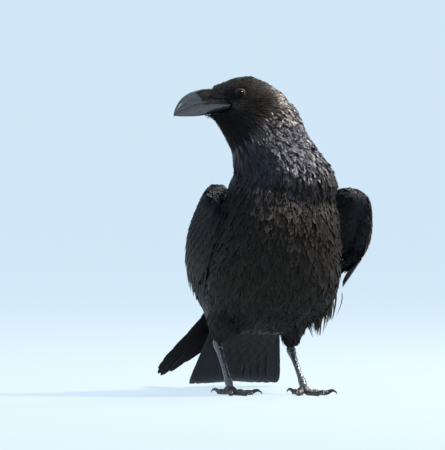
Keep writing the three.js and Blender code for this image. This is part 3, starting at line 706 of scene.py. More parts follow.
# Rows of a measure and of a feather's length, width and spacing there, in millimetres.
# The measures are the distance from the bill along the body's axis, the distance from the wrist,
# and the height over the floor.
BODY_SIZES = [(0, 4.4, 1.25, 1.3), (35, 5.6, 1.45, 1.45), (65, 8, 2.0, 1.9), (95, 12, 4.0, 3.3),
              (130, 18, 7, 4.8), (170, 24, 10, 6.0), (220, 28, 11.5, 6.4), (300, 36, 12.5, 6.6),
              (451, 38, 13, 7.0)]
WRIST_SIZES = [(0, 11, 7.5, 4), (40, 17, 11, 5.5), (150, 26, 15, 8)]
THIGH_SIZES = [(60, 8, 4, 2.8), (110, 22, 8, 5)]
HACKLE_SIZE = (25, 4.2, 3.7)
TAIL_COVERT_SIZE = (38, 15, 8.5)
EYE_CLEAR = 8.2  # no feathers nearer than this to the eye's middle
BILL_FACE = 18  # how far ahead of the eyes the bill begins to show
BILL_CLEAR, BILL_DEEP = 0.9, 14  # the gap kept to the bill, and how deep a root inside it can lie
# Where head, hackles and breast end along the body's axis, and how far two borders are blurred.
HEAD_END, HEAD_BLUR = 88, 5
HACKLE_END, HACKLE_BLUR = 146, 12
BREAST_END = 262
FACE_EDGE, FACE_BLUR = 0.32, 0.16  # the same for the dark of the face, as a share
BARE_WING = 105  # farther than this from the right wrist, the rows of coverts hide the wing


def free_of_horn(points):
    """False where the eyes or the bill are."""
    clear = np.ones(len(points), bool)
    for side in (1, -1):
        clear &= np.linalg.norm(points - in_head(0, 0, side * EYE_ASIDE), axis=1) > EYE_CLEAR
    for node in ("upper_bill", "lower_bill"):
        p, _, f = node_arrays(node)
        tree = BVHTree.FromPolygons([tuple(q) for q in p], f)
        for i in np.where((points - EYE_MIDDLE) @ AHEAD > BILL_FACE)[0]:
            at, normal, _, far = tree.find_nearest(Vector(points[i]))
            inside = far < BILL_DEEP and normal.dot(Vector(points[i]) - at) < 0
            clear[i] &= not inside and far > BILL_CLEAR
    return clear


def sizes_at(rows, measure):
    at, *sizes = np.array(rows, float).T
    return np.stack([np.interp(measure, at, size) for size in sizes], -1)


def feather_sizes():
    """Length, width and spacing of the feathers at each point of the skin, and how hackled it is."""
    distance = skin.distance
    sizes = sizes_at(BODY_SIZES, distance)
    along_neck = ramp(62, 85, distance) * (1 - ramp(150, 205, distance))
    throat = throat_side(skin.points, skin.normals) * along_neck
    hackle = np.tile(HACKLE_SIZE, (len(sizes), 1))
    hackle[:, 0] = np.maximum(hackle[:, 0], sizes[:, 0])
    sizes = mix(sizes, hackle, throat[:, None])
    for side in WINGS:
        here = skin.is_in(side + "_wing_shoulder")
        sizes[here] = sizes_at(WRIST_SIZES, np.linalg.norm(skin.points[here] - wrist(side), axis=1))
        here = skin.is_in(side + "_thigh")
        sizes[here] = sizes_at(THIGH_SIZES, skin.points[here][:, 2])
    sizes[skin.is_in("tail_coverts")] = TAIL_COVERT_SIZE
    return skin.spread(sizes, 6), throat


# material, fray, rim, how lance-like, unevenness of the way and of the tone
GROUPS = {
    "face": ("face", 0.05, 0.06, 0.6, 0.10, 0.16),
    "crown": ("crown", 0.05, 0.14, 0.6, 0.12, 0.22),
    "neck": ("hackle", 0.06, 0.06, 0.2, 0.12, 0.24),
    "breast": ("soft", 0.08, 0.26, 0.1, 0.12, 0.18),
    "belly": ("soft", 0.13, 0.28, 0.25, 0.15, 0.18),
    "back": ("covert", 0.04, 0.10, 0.1, 0.08, 0.14),
    "tail_coverts": ("under", 0.05, 0.4, 0.1, 0.08, 0.16),
    "wings": ("flight", 0.03, 0.4, 0.1, 0.06, 0.14),
}
# Narrow loose locks over the vanes break them up into barbs: locks to a feather, and share of its width.
LOCKS = {"neck": (2, 0.2), "breast": (1, 0.14), "belly": (2, 0.16)}


def grow_coat():
    sizes, throat = feather_sizes()
    roots, vertex = spread_points(sizes[:, 2])
    clear = free_of_horn(roots)
    roots, vertex = roots[clear], vertex[clear]
    longs = sizes[vertex, 0] * rng.normal(1, 0.1, len(roots))
    wides = sizes[vertex, 1] * rng.normal(1, 0.08, len(roots))
    far = skin.distance[vertex]
    names = np.array(SKIN_FROM)[skin.region[vertex]]
    colours = coat_colour(skin.points[vertex], skin.normals[vertex], far, skin.region[vertex])
    wing = np.char.find(names, "wing") >= 0
    front = ~wing & (names != "back") & (names != "tail_coverts")
    from_wrist = np.linalg.norm(roots - wrist("right"), axis=1)
    bare = (names == "right_wing_shoulder") & (from_wrist > BARE_WING)
    hackled = far + rng.normal(0, HACKLE_BLUR, len(far)) < HACKLE_END
    dark_face = face_shade(roots) + rng.normal(0, FACE_BLUR, len(far)) > FACE_EDGE
    on_head = (far + rng.normal(0, HEAD_BLUR, len(far)) < HEAD_END) & ~wing
    members = {
        "face": on_head & dark_face,
        "crown": on_head & ~dark_face,
        "neck": ~on_head & hackled & front,
        "breast": ~on_head & ~hackled & (far < BREAST_END) & front,
        "belly": (far >= BREAST_END) & front,
        "back": (names == "back") & ~on_head,
        "tail_coverts": names == "tail_coverts",
        "wings": wing & ~bare,
    }
    for label, (look, fray, edge, lance, astray, mottled) in GROUPS.items():
        here = np.where(members[label])[0]
        long, wide = longs[here], wides[here]
        small = label in ("face", "crown")
        spine, ups, ways = trace(roots[here], long, rng.normal(0, astray, len(here)), 4 if small else 6)
        lift = skin.depth[vertex[here]] * rng.normal(1.0, 0.16, len(here)) + 0.25
        if label == "wings":
            lift = rng.normal(2.0, 0.3, len(here))
        tip = np.clip(throat[vertex[here]] + lance, 0, 1)
        rows, cols = (SMALL_ROWS, SMALL_COLS) if small else (FINE_ROWS, FINE_COLS)
        vanes("plumage_" + label, spine, ups, ways, long, wide, lift, tip, colours[here], look,
              "plumage", rows=rows, cols=cols, fray=fray, edge=edge, uneven_tone=mottled,
              uneven_tilt=0.22 if look in ("hackle", "crown") else 0.1)
        if label in LOCKS:
            copies, narrow = LOCKS[label]
            again = np.tile(np.arange(len(here)), copies)
            shift = rng.normal(0, 1, (len(again), 3)) * (wide[again] * 0.25)[:, None]
            sway = rng.normal(0, 0.2, len(again))
            spine, ups, ways = trace(roots[here][again] + shift, long[again], sway)
            lock = np.maximum(1.2, wide[again] * narrow * rng.uniform(0.7, 1.3, len(again)))
            tones = colours[here][again] * rng.normal(1.15, 0.25, (len(again), 1))
            vanes("locks_" + label, spine, ups, ways, long[again], lock, lift[again] * 1.05, 1.0,
                  np.maximum(tones, 0.001), look, "plumage", cols=SMALL_COLS, fray=0.02, edge=edge)


grow_coat()

# ---- flight feathers

WEB_COLS = np.array([-1, -0.72, -0.4, -0.07, 0, 0.07, 0.3, 0.55, 0.8, 1.0])
SHAFT = 0.55


def flight_feathers(name, feathers, place, material, slot, replaces=(), along_steps=26):
    """Long feathers on a wing's or the tail's surface, each with a shaft and two webs.

    Each entry: from and to (along, across), lead and trail half widths in across units, out at
    the root and the tip, round (how much shorter the webs' edges end), tilt (how much deeper the
    trailing web lies), camber, colour, edge (how pale the worn rim is) and size in millimetres.
    """
    points, colours, vane, bake = [], [], [], []
    c, s = np.meshgrid(WEB_COLS, np.linspace(0, 1, along_steps))
    for number, f in enumerate(feathers):
        ends = 1 - f["round"] * np.abs(c) ** 2.2
        jag = rng.normal(0, 0.0035, len(WEB_COLS)) * (np.abs(WEB_COLS) > 0.2)
        reach = s * (ends + jag[None] * s)
        body = (1.0 - 0.45 * (1 - s)) * (1 - s ** 14 * 0.45)
        web = np.where(c < 0, f["lead"], f["trail"]) * body
        ripple = 1 + 0.008 * np.sin(s * 40 + c * 3 + number)
        along = mix(f["from"][0], f["to"][0], reach)
        across = mix(f["from"][1], f["to"][1], reach) + c * web * ripple
        shaft = SHAFT * (np.abs(c) < 0.05) * (1 - 0.8 * s)
        out = mix(*f["out"], reach) + shaft + f["camber"] * (1 - c ** 2) - f["tilt"] * c
        points.append(place(along, across, out))
        tone = rng.normal(1, 0.1)
        edge = f["edge"] * (np.abs(c) ** 6 + 0.6 * s ** 16)
        # Painted shade: coverts are painted darker towards their roots, where the row above covers them,
        # and each feather's trailing web, which lies deeper under its neighbour, is painted darker.
        overlap_shade = (0.5 + 0.6 * ramp(0.45, 1.0, s)) * (1 - 0.22 * c) if slot == "plumage" else 1 - 0.2 * c
        base = f["colour"] * (tone * overlap_shade)[..., None]
        colours.append(mix(base, WORN_EDGE, np.clip(edge, 0, 1)[..., None]))
        wide, long = f["size"]
        vane.append(np.stack([c * wide * 0.6, reach * long - np.abs(c) * wide * 1.2], -1) * MM)
        if slot == "plumage":
            root = place(*f["from"], f["out"][0])
            bake.append(root_patch(bake_uv(root.reshape(1, 3))[0], c, s))
        else:
            cell = (number + 0.06 + 0.88 * (c + 1) / 2) / len(feathers)
            bake.append(np.stack([cell, 0.02 + 0.96 * s], -1))
    make_piece(name, points, many_faces(len(feathers), *c.shape), material,
               np.array(colours).reshape(-1, 3), slot, bake=bake, vane=vane, replaces=replaces)


PRIMARY_TIPS = [(0.885, 0.02), (0.97, 0.2), (1, 0.46), (0.975, 0.74), (0.905, 0.95), (0.81, 1.1)]
SECONDARY_TIPS = [(0.62, 0.5), (0.607, 0.6), (0.592, 0.7), (0.575, 0.79), (0.55, 0.87), (0.52, 0.94),
                  (0.48, 1)]
# Rows of coverts, from the greater ones to the small ones at the wrist: root, and tip at the low
# and high end, along the wing, the row's ends across it, how many, and height at root and tip.
COVERT_ROWS = [
    (0.200, 0.440, 0.370, 0.02, 0.98, 15, -2.0, 1.3),
    (0.165, 0.330, 0.300, 0.02, 0.98, 15, -2.0, 1.6),
    (0.135, 0.265, 0.245, 0.02, 0.98, 16, -2.0, 1.5),
    (0.110, 0.215, 0.205, 0.02, 0.98, 16, -2.0, 1.3),
    (0.088, 0.178, 0.172, 0.03, 0.97, 16, -2.2, 1.1),
    (0.066, 0.147, 0.143, 0.04, 0.96, 16, -2.4, 0.9),
    (0.046, 0.118, 0.116, 0.06, 0.94, 15, -2.6, 0.7),
    (0.028, 0.092, 0.090, 0.10, 0.90, 13, -2.8, 0.5),
    (0.012, 0.066, 0.066, 0.16, 0.84, 11, -3.0, 0.3),
]
PRIMARIES, SECONDARIES = 9, 11
# How bright the coverts are against the common colours, how pale their worn rims are, and how much
# the first primary is arched. The left coverts and rims are painted paler than the right: painted light
# on a side the lamps leave in shade.
COVERT_TONE_AND_LIGHT = {"right": 1.7, "left": 2.4}
COVERT_WEAR_AND_LIGHT = {"right": 0.34, "left": 0.5}
FIRST_CAMBER = {"right": 0.5, "left": 4.0}


def wing_feathers(side):
    wing = WINGS[side]
    place = wing_place(wing)
    primaries, secondaries, coverts = [], [], []
    for i in range(PRIMARIES):
        t = i / (PRIMARIES - 1)
        primaries.append({
            "from": (0.27, mix(0.03, 0.42, t)), "to": smoothly(PRIMARY_TIPS, t),
            "lead": mix(0.18, 0.10, t), "trail": 0.34, "round": 0.03,
            "out": (-9 + 0.42 * i, -5 + 0.42 * i), "camber": 0.5, "tilt": 0.5,
            "colour": FLIGHT, "edge": 0.35, "size": (18, 260),
        })
    for i in range(SECONDARIES):
        t = i / (SECONDARIES - 1)
        broad = ramp(0.6, 1, t)
        secondaries.append({
            "from": (0.2, mix(0.24, 0.92, t)), "to": smoothly(SECONDARY_TIPS, t),
            "lead": 0.05 + 0.03 * broad, "trail": 0.13 + 0.05 * broad, "round": 0.035,
            "out": (-2.5 + 0.4 * i, -1.5 + 0.4 * i), "camber": 0.6, "tilt": 0.6,
            "colour": mix(FLIGHT, WING_BLUE, 0.5), "edge": 0.3, "size": (20, 190),
        })
    for number, (root, tip_low, tip_high, low, high, count, deep, proud) in enumerate(COVERT_ROWS):
        for i in range(count):
            t = (i + 0.5 * (number % 2)) / (count - 0.5)
            lead = 0.62 * (high - low) / count
            coverts.append({
                "from": (root, mix(low, high, t)), "to": (mix(tip_low, tip_high, t), mix(low, high, t)),
                "lead": lead, "trail": lead * 1.35, "round": 0.10, "out": (deep, proud + 0.03 * i),
                "camber": 0.7, "tilt": 0.5,
                "colour": mix(WING_BROWN, WING_BLUE, ramp(0, 0.6, t)) * COVERT_TONE_AND_LIGHT[side],
                "edge": COVERT_WEAR_AND_LIGHT[side], "size": (16, 400 * (tip_low - root)),
            })
    flight_feathers(side + "_primary_vanes", primaries, place, "flight", "flight",
                    replaces=(side + "_wing_primaries",), along_steps=30)
    flight_feathers(side + "_secondary_vanes", secondaries, place, "flight", "flight",
                    replaces=(side + "_wing_secondaries",))
    flight_feathers(side + "_wing_covert_rows", coverts, place, "covert", "plumage", along_steps=9)

    root, tip = (np.array(p, float) for p in wing["first"])
    way = tip - root
    outward = np.array([wing["side"], 0, 0], float)
    down = unit(np.cross(way, outward)) * -wing["side"]

    def beside(along, across, out):
        along, across, out = columns(along, across, out)
        return root + way * along + down * across * (1 - along ** 3) + outward * out

    flight_feathers(side + "_first_primary_vane", [{
        "from": (-0.1, 0), "to": (1, 0), "lead": 5, "trail": 7, "round": 0.16, "out": (-1, -1),
        "camber": FIRST_CAMBER[side], "tilt": 0.2, "colour": FLIGHT, "edge": 0.15, "size": (10, 80),
    }], beside, "flight", "flight", replaces=(side + "_first_primary",))


for side in WINGS:
    wing_feathers(side)


def arched(roots, tips, out, bend):
    """Spines from roots to tips, bowed towards out by bend, with their ups and ways."""
    roots, tips, out = (np.asarray(v, float) for v in (roots, tips, out))
    s = np.linspace(0, 1, 7)
    bow = np.broadcast_to(bend, len(roots))[:, None] * np.sin(math.pi * s ** 0.8)
    spine = mix(roots[:, None], tips[:, None], s[None, :, None]) + out[:, None] * bow[..., None]
    ways = unit(np.gradient(spine, axis=1))
    ups = np.repeat(out[:, None], len(s), 1)
    return spine, unit(ups - ways * (ups * ways).sum(-1, keepdims=True)), ways


SCAPULARS = 110


def scapulars(side):
    """Feathers that lie from the side of the back over the top of the folded wing."""
    sign = WINGS[side]["side"]
    place = wing_place(WINGS[side])
    t = rng.uniform(0.3, 1, SCAPULARS)
    reach = rng.random(SCAPULARS)
    along, across = mix(0.02, 0.42, t) + 0.05 * reach, mix(0.94, 0.66, reach) + 0.04 * t
    tips = place(along, across, mix(4.5, 2.5, reach))
    start = np.stack([sign * mix(34, 26, t), mix(-2, 100, t), mix(296, 208, t)], 1)
    roots, normals, _ = skin.nearest(mix(start, tips, 0.15 + 0.5 * reach[:, None]))
    outward = place(mix(0.02, 0.4, t), 0.8, 1) - place(mix(0.02, 0.4, t), 0.8, 0)
    spine, ups, ways = arched(roots, tips, unit(unit(outward) + normals), 3.5)
    length = np.linalg.norm(tips - roots, axis=1)
    colour = np.tile(WING_BLUE, (SCAPULARS, 1)) * rng.normal(1, 0.1, (SCAPULARS, 1))
    vanes(side + "_scapulars", spine, ups, ways, length, mix(14, 22, t), 1.0, 0.1, colour, "flight",
          "plumage", fray=0.03, edge=0.12)


for side in WINGS:
    scapulars(side)

TAIL_PAIRS = 6


def tail_feathers():
    feathers = []
    for i in range(-TAIL_PAIRS, TAIL_PAIRS):
        aside = i + 0.5
        pair = abs(aside) - 0.5
        out = 2.9 - (pair + (0.5 if i < 0 else 0)) * 0.75
        turned = -1 if aside < 0 else 1
        feathers.append({
            "from": (55, aside * 7.2), "to": (221 - 0.5 * pair * pair - 2.4 * rng.random(), aside * 10.3),
            "lead": 8.0 if turned < 0 else 13.0, "trail": 13.0 if turned < 0 else 8.0, "round": 0.03,
            "out": (out, out), "camber": 0.3, "tilt": 0.25 * turned, "colour": FLIGHT, "edge": 0.12,
            "size": (22, 170),
        })
    flight_feathers("tail_vanes", feathers, tail_place, "flight", "flight", replaces=("tail",))


tail_feathers()

# Rows of tail coverts: root and tip along the tail, half the row's width, how many, and height
# above the tail's middle line at root and tip.
UNDER_TAIL_ROWS = [
    (80, 178, 15, 3, -7.5, -5.2), (66, 160, 24, 5, -9.0, -6.0), (52, 140, 31, 6, -11, -7.0),
    (38, 121, 35, 7, -14, -8.2), (24, 102, 37, 7, -18, -9.6), (12, 84, 37, 7, -21, -12.0),
    (4, 66, 36, 7, -23, -15.0),
]
OVER_TAIL_ROWS = [
    (60, 138, 27, 5, 6.0, 4.6), (46, 120, 33, 6, 8.0, 6.0), (32, 102, 35, 7, 11, 7.4),
    (18, 84, 35, 7, 16, 9.4), (6, 66, 34, 7, 20, 13.0),
]


def tail_covert_rows(name, rows, colour, edge, facing):
    feathers = []
    for number, (root, tip, half_row, count, deep, proud) in enumerate(rows):
        for i in range(count):
            aside = (i - (count - 1) / 2) / max((count - 1) / 2, 1)
            middle = 1 - 0.10 * aside ** 2
            width = 1.2 * half_row / count + 3
            bow = 3.5 * aside ** 2 * -facing
            feathers.append({
                "from": (root, aside * half_row * 0.85),
                "to": (root + (tip - root) * middle, aside * half_row),
                "lead": width, "trail": width, "round": 0.12, "camber": 1.2 * facing, "tilt": 0.0,
                "out": (deep + bow, proud + bow * 0.4 + facing * 0.25 * (i % 2)),
                "colour": colour, "edge": edge, "size": (2 * width, tip - root),
            })
    flight_feathers(name, feathers, tail_place, "under" if facing < 0 else "covert", "plumage",
                    along_steps=14)


tail_covert_rows("under_tail_coverts", UNDER_TAIL_ROWS, UNDER_TAIL, 0.5, -1)
tail_covert_rows("upper_tail_coverts", OVER_TAIL_ROWS, WING_BLUE, 0.16, 1)

# ---- bill

# Distance ahead of the eye, top and bottom edge above it, and half width.
UPPER_BILL = [(8, 1, -12.2, 13.4), (16, 4, -11, 12.6), (27, 5.6, -10.2, 11.4), (38, 5.2, -10.8, 10),
              (50, 4.6, -12.9, 8.5), (62, 2.4, -16, 7), (72, -3, -20.6, 5.4), (79, -10.2, -24.6, 3.9),
              (83.7, -18.6, -27.6, 2.4), (86, -25.6, -30.4, 1.1)]
LOWER_BILL = [(8, -11.4, -19.4, 13), (16, -10.4, -22.8, 12), (27, -9.6, -24.8, 10.5),
              (38, -10, -26.2, 8.9), (50, -11.8, -28.6, 7.3), (62, -15, -29.5, 5.7),
              (72, -19.6, -29.7, 4.1), (79, -23.7, -29.5, 2.7), (83.4, -26.9, -29.1, 1.2),
              (85, -28.2, -28.9, 0.4)]
WORN_LIP = np.array((0.150, 0.132, 0.115))
UNPAINTED = np.zeros(3)  # for horn, which adds the mesh's colour to its own


def closed_tube(rings):
    """Points and faces of a tube through rings (rows, sides, 3), closed to a point at each end."""
    rows, sides, _ = rings.shape
    points = rings.reshape(-1, 3)
    faces = grid_faces(rows, sides, closed=True)
    ends = []
    for row, flip in ((0, True), (rows - 1, False)):
        middle = len(points)
        points = np.concatenate([points, rings[row].mean(0)[None]])
        base = row * sides
        for s in range(0, sides, 2):
            trio = [base + s, base + (s + 1) % sides, base + (s + 2) % sides]
            ends.append([middle, *(trio[::-1] if flip else trio)])
    return points, np.concatenate([faces, np.array(ends)])


def with_caps(colour):
    """The colours of a closed tube's rings, and black for the two points that close it."""
    return np.concatenate([colour.reshape(-1, 3), np.zeros((2, 3))])


def bill_half(name, stations, taper, lip, dusty, replaces):
    """One mandible: taper narrows its top, lip is the height of its cutting edge from -1 to 1."""
    rows, sides = 70, 56
    t = np.linspace(0, 1, rows)
    ahead, top, bottom, half = smoothly(stations, t).T
    angle = np.linspace(0, 2 * math.pi, sides, endpoint=False)
    c, n = np.cos(angle), np.sin(angle)
    along = np.sign(c) * np.abs(c) ** (1 / 1.15)
    across = np.sign(n) * np.abs(n) ** (1 / 1.15) * (1 + taper * along)
    edge = np.exp(-((along - lip) / 0.12) ** 2) - 0.8 * np.exp(-((along - lip * 0.72) / 0.13) ** 2)
    swell = 1 + 0.045 * edge[None] * (np.abs(n)[None] > 0.05)
    middle, tall = (top + bottom) / 2, (top - bottom) / 2
    up = middle[:, None] + tall[:, None] * along[None]
    aside = half[:, None] * across[None] * swell
    rings = in_head(np.broadcast_to(ahead[:, None], up.shape), up, aside)
    points, faces = closed_tube(rings)
    lasting = ramp(0.02, 0.12, t) * (1 - ramp(0.6, 0.9, t))
    worn = np.exp(-((along - lip) / 0.09) ** 2)[None] * lasting[:, None]
    flaky = np.clip(rng.normal(1, 0.35, worn.shape), 0.2, 2)
    tint = WORN_LIP * (worn * flaky)[..., None] + np.array(dusty) * flaky[..., None]
    make_piece(name, points, faces, "bill", with_caps(tint), "bill", replaces=replaces)


bill_half("upper_mandible", UPPER_BILL, -0.28, -0.9, (0.002, 0.002, 0.003), ("upper_bill",))
bill_half("lower_mandible", LOWER_BILL, 0.2, 0.9, (0.020, 0.016, 0.013), ("lower_bill",))

# ---- eyes

PUPIL, IRIS = 3.3, 5.3  # their radii
BROWN = np.array((0.0085, 0.0045, 0.0028))
CORNEA = 0.35  # how far the eye bulges before its ball
LIDS = ((5.75, 0.5, 3.7), (6.75, 0.5, 3.2))  # radius, thickness and height over the eye's middle
LID_BEADS = 34
BROW = 0.35  # how much farther out the lids are above the eye


def eye(side, label):
    rows, sides = 40, 48
    angle = np.linspace(0.02, math.pi - 0.02, rows)[:, None]
    turn = np.linspace(0, 2 * math.pi, sides, endpoint=False)
    radius = EYE_RADIUS * np.sin(angle)
    out = EYE_RADIUS * np.cos(angle) + CORNEA * np.exp(-(angle / 0.75) ** 2)
    ahead, above = radius * np.cos(turn), radius * np.sin(turn)
    points, faces = closed_tube(in_head(ahead, above, side * (EYE_ASIDE + out)))
    pupil, iris = (math.asin(size / EYE_RADIUS) for size in (PUPIL, IRIS))
    tone = np.where(angle < pupil, 0.0, np.where(angle < iris, 1.0, 0.2))
    colour = BROWN * np.broadcast_to(tone, (rows, sides))[..., None]
    make_piece(label + "_eyeball", points, faces, "eye", with_caps(colour), "eyes",
               replaces=(label + "_eye",))


def lids(side, label):
    """Two beaded folds round the opening, nearly closed to a circle."""
    around, across = 96, 10
    turn = np.linspace(0, 2 * math.pi, around, endpoint=False)[:, None]
    phi = np.linspace(0, 2 * math.pi, across, endpoint=False)
    c, s = np.cos(turn), np.sin(turn)
    faces = grid_faces(around + 1, across, closed=True) % (around * across)
    for number, (ring, thick, out) in enumerate(LIDS):
        bead = thick * (1 + 0.16 * np.sin(turn * LID_BEADS + number))
        wide = ring * (1 + 0.03 * c) + bead * np.cos(phi)
        high = ring * np.where(s > 0, 0.95, 0.93) + bead * np.cos(phi)
        out = out - 0.4 * c + BROW * np.clip(s, 0, 1) + 0.9 * bead * np.sin(phi)
        points = in_head(c * wide, s * high, side * (EYE_ASIDE + out))
        make_piece(label + "_lid_" + str(number + 1), points, faces, "lid", UNPAINTED, "plumage")


for side, label in ((1, "left"), (-1, "right")):
    eye(side, label)
    lids(side, label)

# ---- bristles over the bill

NASAL_BRISTLES, CHIN_BRISTLES = 1500, 260
BARE_EDGE = 0.16  # the share of the bill's side above its edge that stays bare


def strands(name, roots, tips, out, width, bend, colour, edge, material="crown"):
    """Stiff narrow feathers from roots to tips, bowed towards out by bend."""
    spine, ups, ways = arched(roots, tips, out, bend)
    count = len(spine)
    length = np.linalg.norm(np.asarray(tips) - roots, axis=1)
    colours = np.broadcast_to(colour, (count, 3)) * np.clip(rng.normal(1, 0.22, (count, 1)), 0.4, 1.8)
    vanes(name, spine, ups, ways, length, width, 0.0, 1.0, colours, material, "plumage",
          cols=SMALL_COLS, fray=0.0, edge=edge, base_lift=0.0, root_shade=0.8)


def on_bill(ahead, share):
    """Height and half width of the upper mandible, from 0 at its edge to 1 on its ridge."""
    lengths, *rows = np.array(UPPER_BILL, float).T
    top, bottom, half = (np.interp(ahead, lengths, row) for row in rows)
    level = np.clip(share, 0, 1) * 2 - 1
    aside = half * np.sqrt(np.clip(1 - level ** 2, 0, 1)) * (1 - 0.28 * level)
    return (top + bottom) / 2 + (top - bottom) / 2 * level, aside


def nasal_bristles():
    """They cover the base of the upper mandible and point ahead along it, to its middle."""
    count = NASAL_BRISTLES
    side = rng.choice([-1, 1], count)
    share = rng.random(count) ** 0.8  # where on the side of the bill, from its edge to its ridge
    front = mix(51, 61, ramp(0.2, 1, share))
    start = rng.uniform(6, 44, count)
    reach = np.minimum(start + rng.uniform(9, 24, count), front * rng.uniform(0.9, 1.0, count))
    start = np.minimum(start, reach - 5)
    share_a = mix(BARE_EDGE, 1, share)
    share_b = np.clip(share_a - rng.uniform(0.0, 0.10, count) * (share < 0.97), BARE_EDGE, 1)
    height_a, aside_a = on_bill(start, share_a)
    height_b, aside_b = on_bill(reach, share_b)
    roots = in_head(start, height_a + 0.3 * share, side * (aside_a + 0.2))
    tips = in_head(reach, height_b + 0.7 * share, side * (aside_b + rng.uniform(0.5, 1.3, count)))
    out = unit(HEAD_SIDE * (side * (1.15 - share))[:, None] + UP * (share ** 2)[:, None])
    width, bend = rng.uniform(0.7, 1.3, count), rng.uniform(0.3, 1.2, count)
    strands("nasal_bristles", roots, tips, out, width, bend, CROWN_AND_GLARE * 0.62, edge=0.22)


def chin_bristles():
    """Fine tufts under the base of the lower mandible."""
    count = CHIN_BRISTLES
    side = rng.uniform(-1, 1, count)
    start = rng.uniform(6, 26, count)
    reach = start + rng.uniform(9, 22, count)
    roots = in_head(start, -22 - 0.12 * start, side * 9)
    tips = in_head(reach, -25.5 - 0.115 * reach + rng.normal(0, 0.7, count), side * 6)
    out = np.tile(-UP, (count, 1))
    width = rng.uniform(0.8, 1.5, count)
    strands("chin_bristles", roots, tips, out, width, 0.8, BLUE_BLACK * 1.3, edge=0.2)


nasal_bristles()
chin_bristles()

# ---- legs and feet

LEGS = {
    "right": {"heel": (-64.2, 54.5, 67), "knuckle": (-57.2, 12, 14), "toes": (200, 70, 20, -7)},
    "left": {"heel": (31, 39.4, 58), "knuckle": (36.5, -9, 14), "toes": (196, -24, 16, 66)},
}
DIGITS = (1, 2, 3, 4)
TARSUS_ROWS, TOE_ROWS, CLAW_ROWS = 150, 90, 28
TOE_RADIUS, CLAW_RADIUS = 4.3, 2.7
SHIN = np.array([0, -1, 0.6])  # the way that the front of the lower leg faces
TOE_LENGTHS = (27, 31, 43, 34)
CLAW_LENGTHS = (19, 14, 16, 13)
TARSUS_SCUTE, TOE_SCUTE = 0.85, 0.8  # how far the plates stand out
TARSUS = [(-0.09, 2.4), (-0.06, 4.6), (0.01, 6.6), (0.12, 6), (0.24, 4.7), (0.5, 4.1), (0.78, 4.4),
          (0.92, 5.6), (1, 5.6), (1.07, 4.6), (1.1, 2.2)]
CLAW_HEIGHTS = [3.6, 5.3, 6.1, 5.5, 3.5, 1.2]


def limb(path, wide, deep, up, sides, relief=None):
    """Rings along a path; relief(angle, row) adds to the radius. Angle 0 faces the way of up."""
    ways = unit(np.gradient(path, axis=0))
    across = unit(np.cross(ways, up))
    deep_way = unit(np.cross(across, ways))
    angle = np.linspace(0, 2 * math.pi, sides, endpoint=False)
    more = relief(angle[None], np.arange(len(path))[:, None]) if relief else 0
    a = (deep[:, None] + more) * np.cos(angle)
    b = (wide[:, None] + more) * np.sin(angle)
    return path[:, None] + deep_way[:, None] * a[..., None] + across[:, None] * b[..., None]


def heading(angle):
    return np.array([math.sin(math.radians(angle)), -math.cos(math.radians(angle)), 0.0])


def joined_limbs(name, all_rings, material, slot, replaces):
    points, faces, start = [], [], 0
    for rings in all_rings:
        p, f = closed_tube(rings)
        points.append(p)
        faces.append(f + start)
        start += len(p)
    points = np.concatenate(points)
    make_piece(name, points, np.concatenate(faces), material, UNPAINTED, slot, replaces=replaces)


def scutes(count, rows, depth):
    """Relief of overlapping plates over a limb's front, in saw teeth along it."""
    def relief(angle, row):
        t = row / (rows - 1) * count
        step = (t % 1.0) ** 0.7 * np.minimum(1, (1 - t % 1.0) * 6)
        return depth * step * ramp(-0.2, 0.5, np.cos(angle))
    return relief


def tarsus(leg):
    """The bare lower leg, with plates down its front."""
    heel, knuckle = (np.array(leg[key], float) for key in ("heel", "knuckle"))
    t, radius = smoothly(TARSUS, np.linspace(0, 1, TARSUS_ROWS)).T
    path = heel + (knuckle - heel) * t[:, None]
    return limb(path, radius * 0.86, radius, SHIN, 28, scutes(11, TARSUS_ROWS, TARSUS_SCUTE))


def toe(knuckle, way, number):
    """A toe that comes down from the knuckle to the floor, swollen at its pads."""
    pads = 2 if number == 0 else 3
    t = np.linspace(0.02, 0.97, TOE_ROWS)
    swell = 0.5 - 0.5 * np.cos(2 * math.pi * pads * (t + 0.02))
    radius = TOE_RADIUS * (1 - 0.26 * t) * (0.88 + 0.16 * swell)
    radius = radius * np.minimum(1, ((1.02 - t) / 0.06)) ** 0.4
    path = knuckle + way * (t * TOE_LENGTHS[number])[:, None]
    path[:, 2] = radius - 0.5 + 7 * np.maximum(0, 1 - t / 0.4) ** 2
    rings = limb(path, radius * 0.94, radius, UP, 20, scutes(4 * pads + 1, TOE_ROWS, TOE_SCUTE))
    rings[..., 2] = np.maximum(rings[..., 2], 0.02)
    return rings


def claw(knuckle, way, number):
    """A claw that arches from the tip of its toe down to the floor."""
    t = np.linspace(-0.12, 1, CLAW_ROWS)
    start = knuckle + way * (TOE_LENGTHS[number] - 1.2)
    path = start + way * (CLAW_LENGTHS[number] * np.sin(1.35 * t))[:, None]
    path[:, 2] = smoothly(CLAW_HEIGHTS, np.clip(t, 0, 1))
    radius = np.minimum(CLAW_RADIUS * np.clip(1 - t, 0, 1) ** 0.85 + 0.2, path[:, 2] - 0.05)
    return limb(path, radius * 0.72, radius, UP, 16)


for side, leg in LEGS.items():
    joined_limbs(side + "_tarsus_scaled", [tarsus(leg)], "leg", "legs", (side + "_tarsus",))
    for shape, name, material, slot in ((toe, "_toes_scaled", "toe", "legs"),
                                        (claw, "_claws_curved", "claw", "claws")):
        rings = [shape(np.array(leg["knuckle"], float), heading(angle), number)
                 for number, angle in enumerate(leg["toes"])]
        joined_limbs(side + name, rings, material, slot,
                     [side + "_" + material + "_" + str(n) for n in DIGITS])

# ---- flank tufts

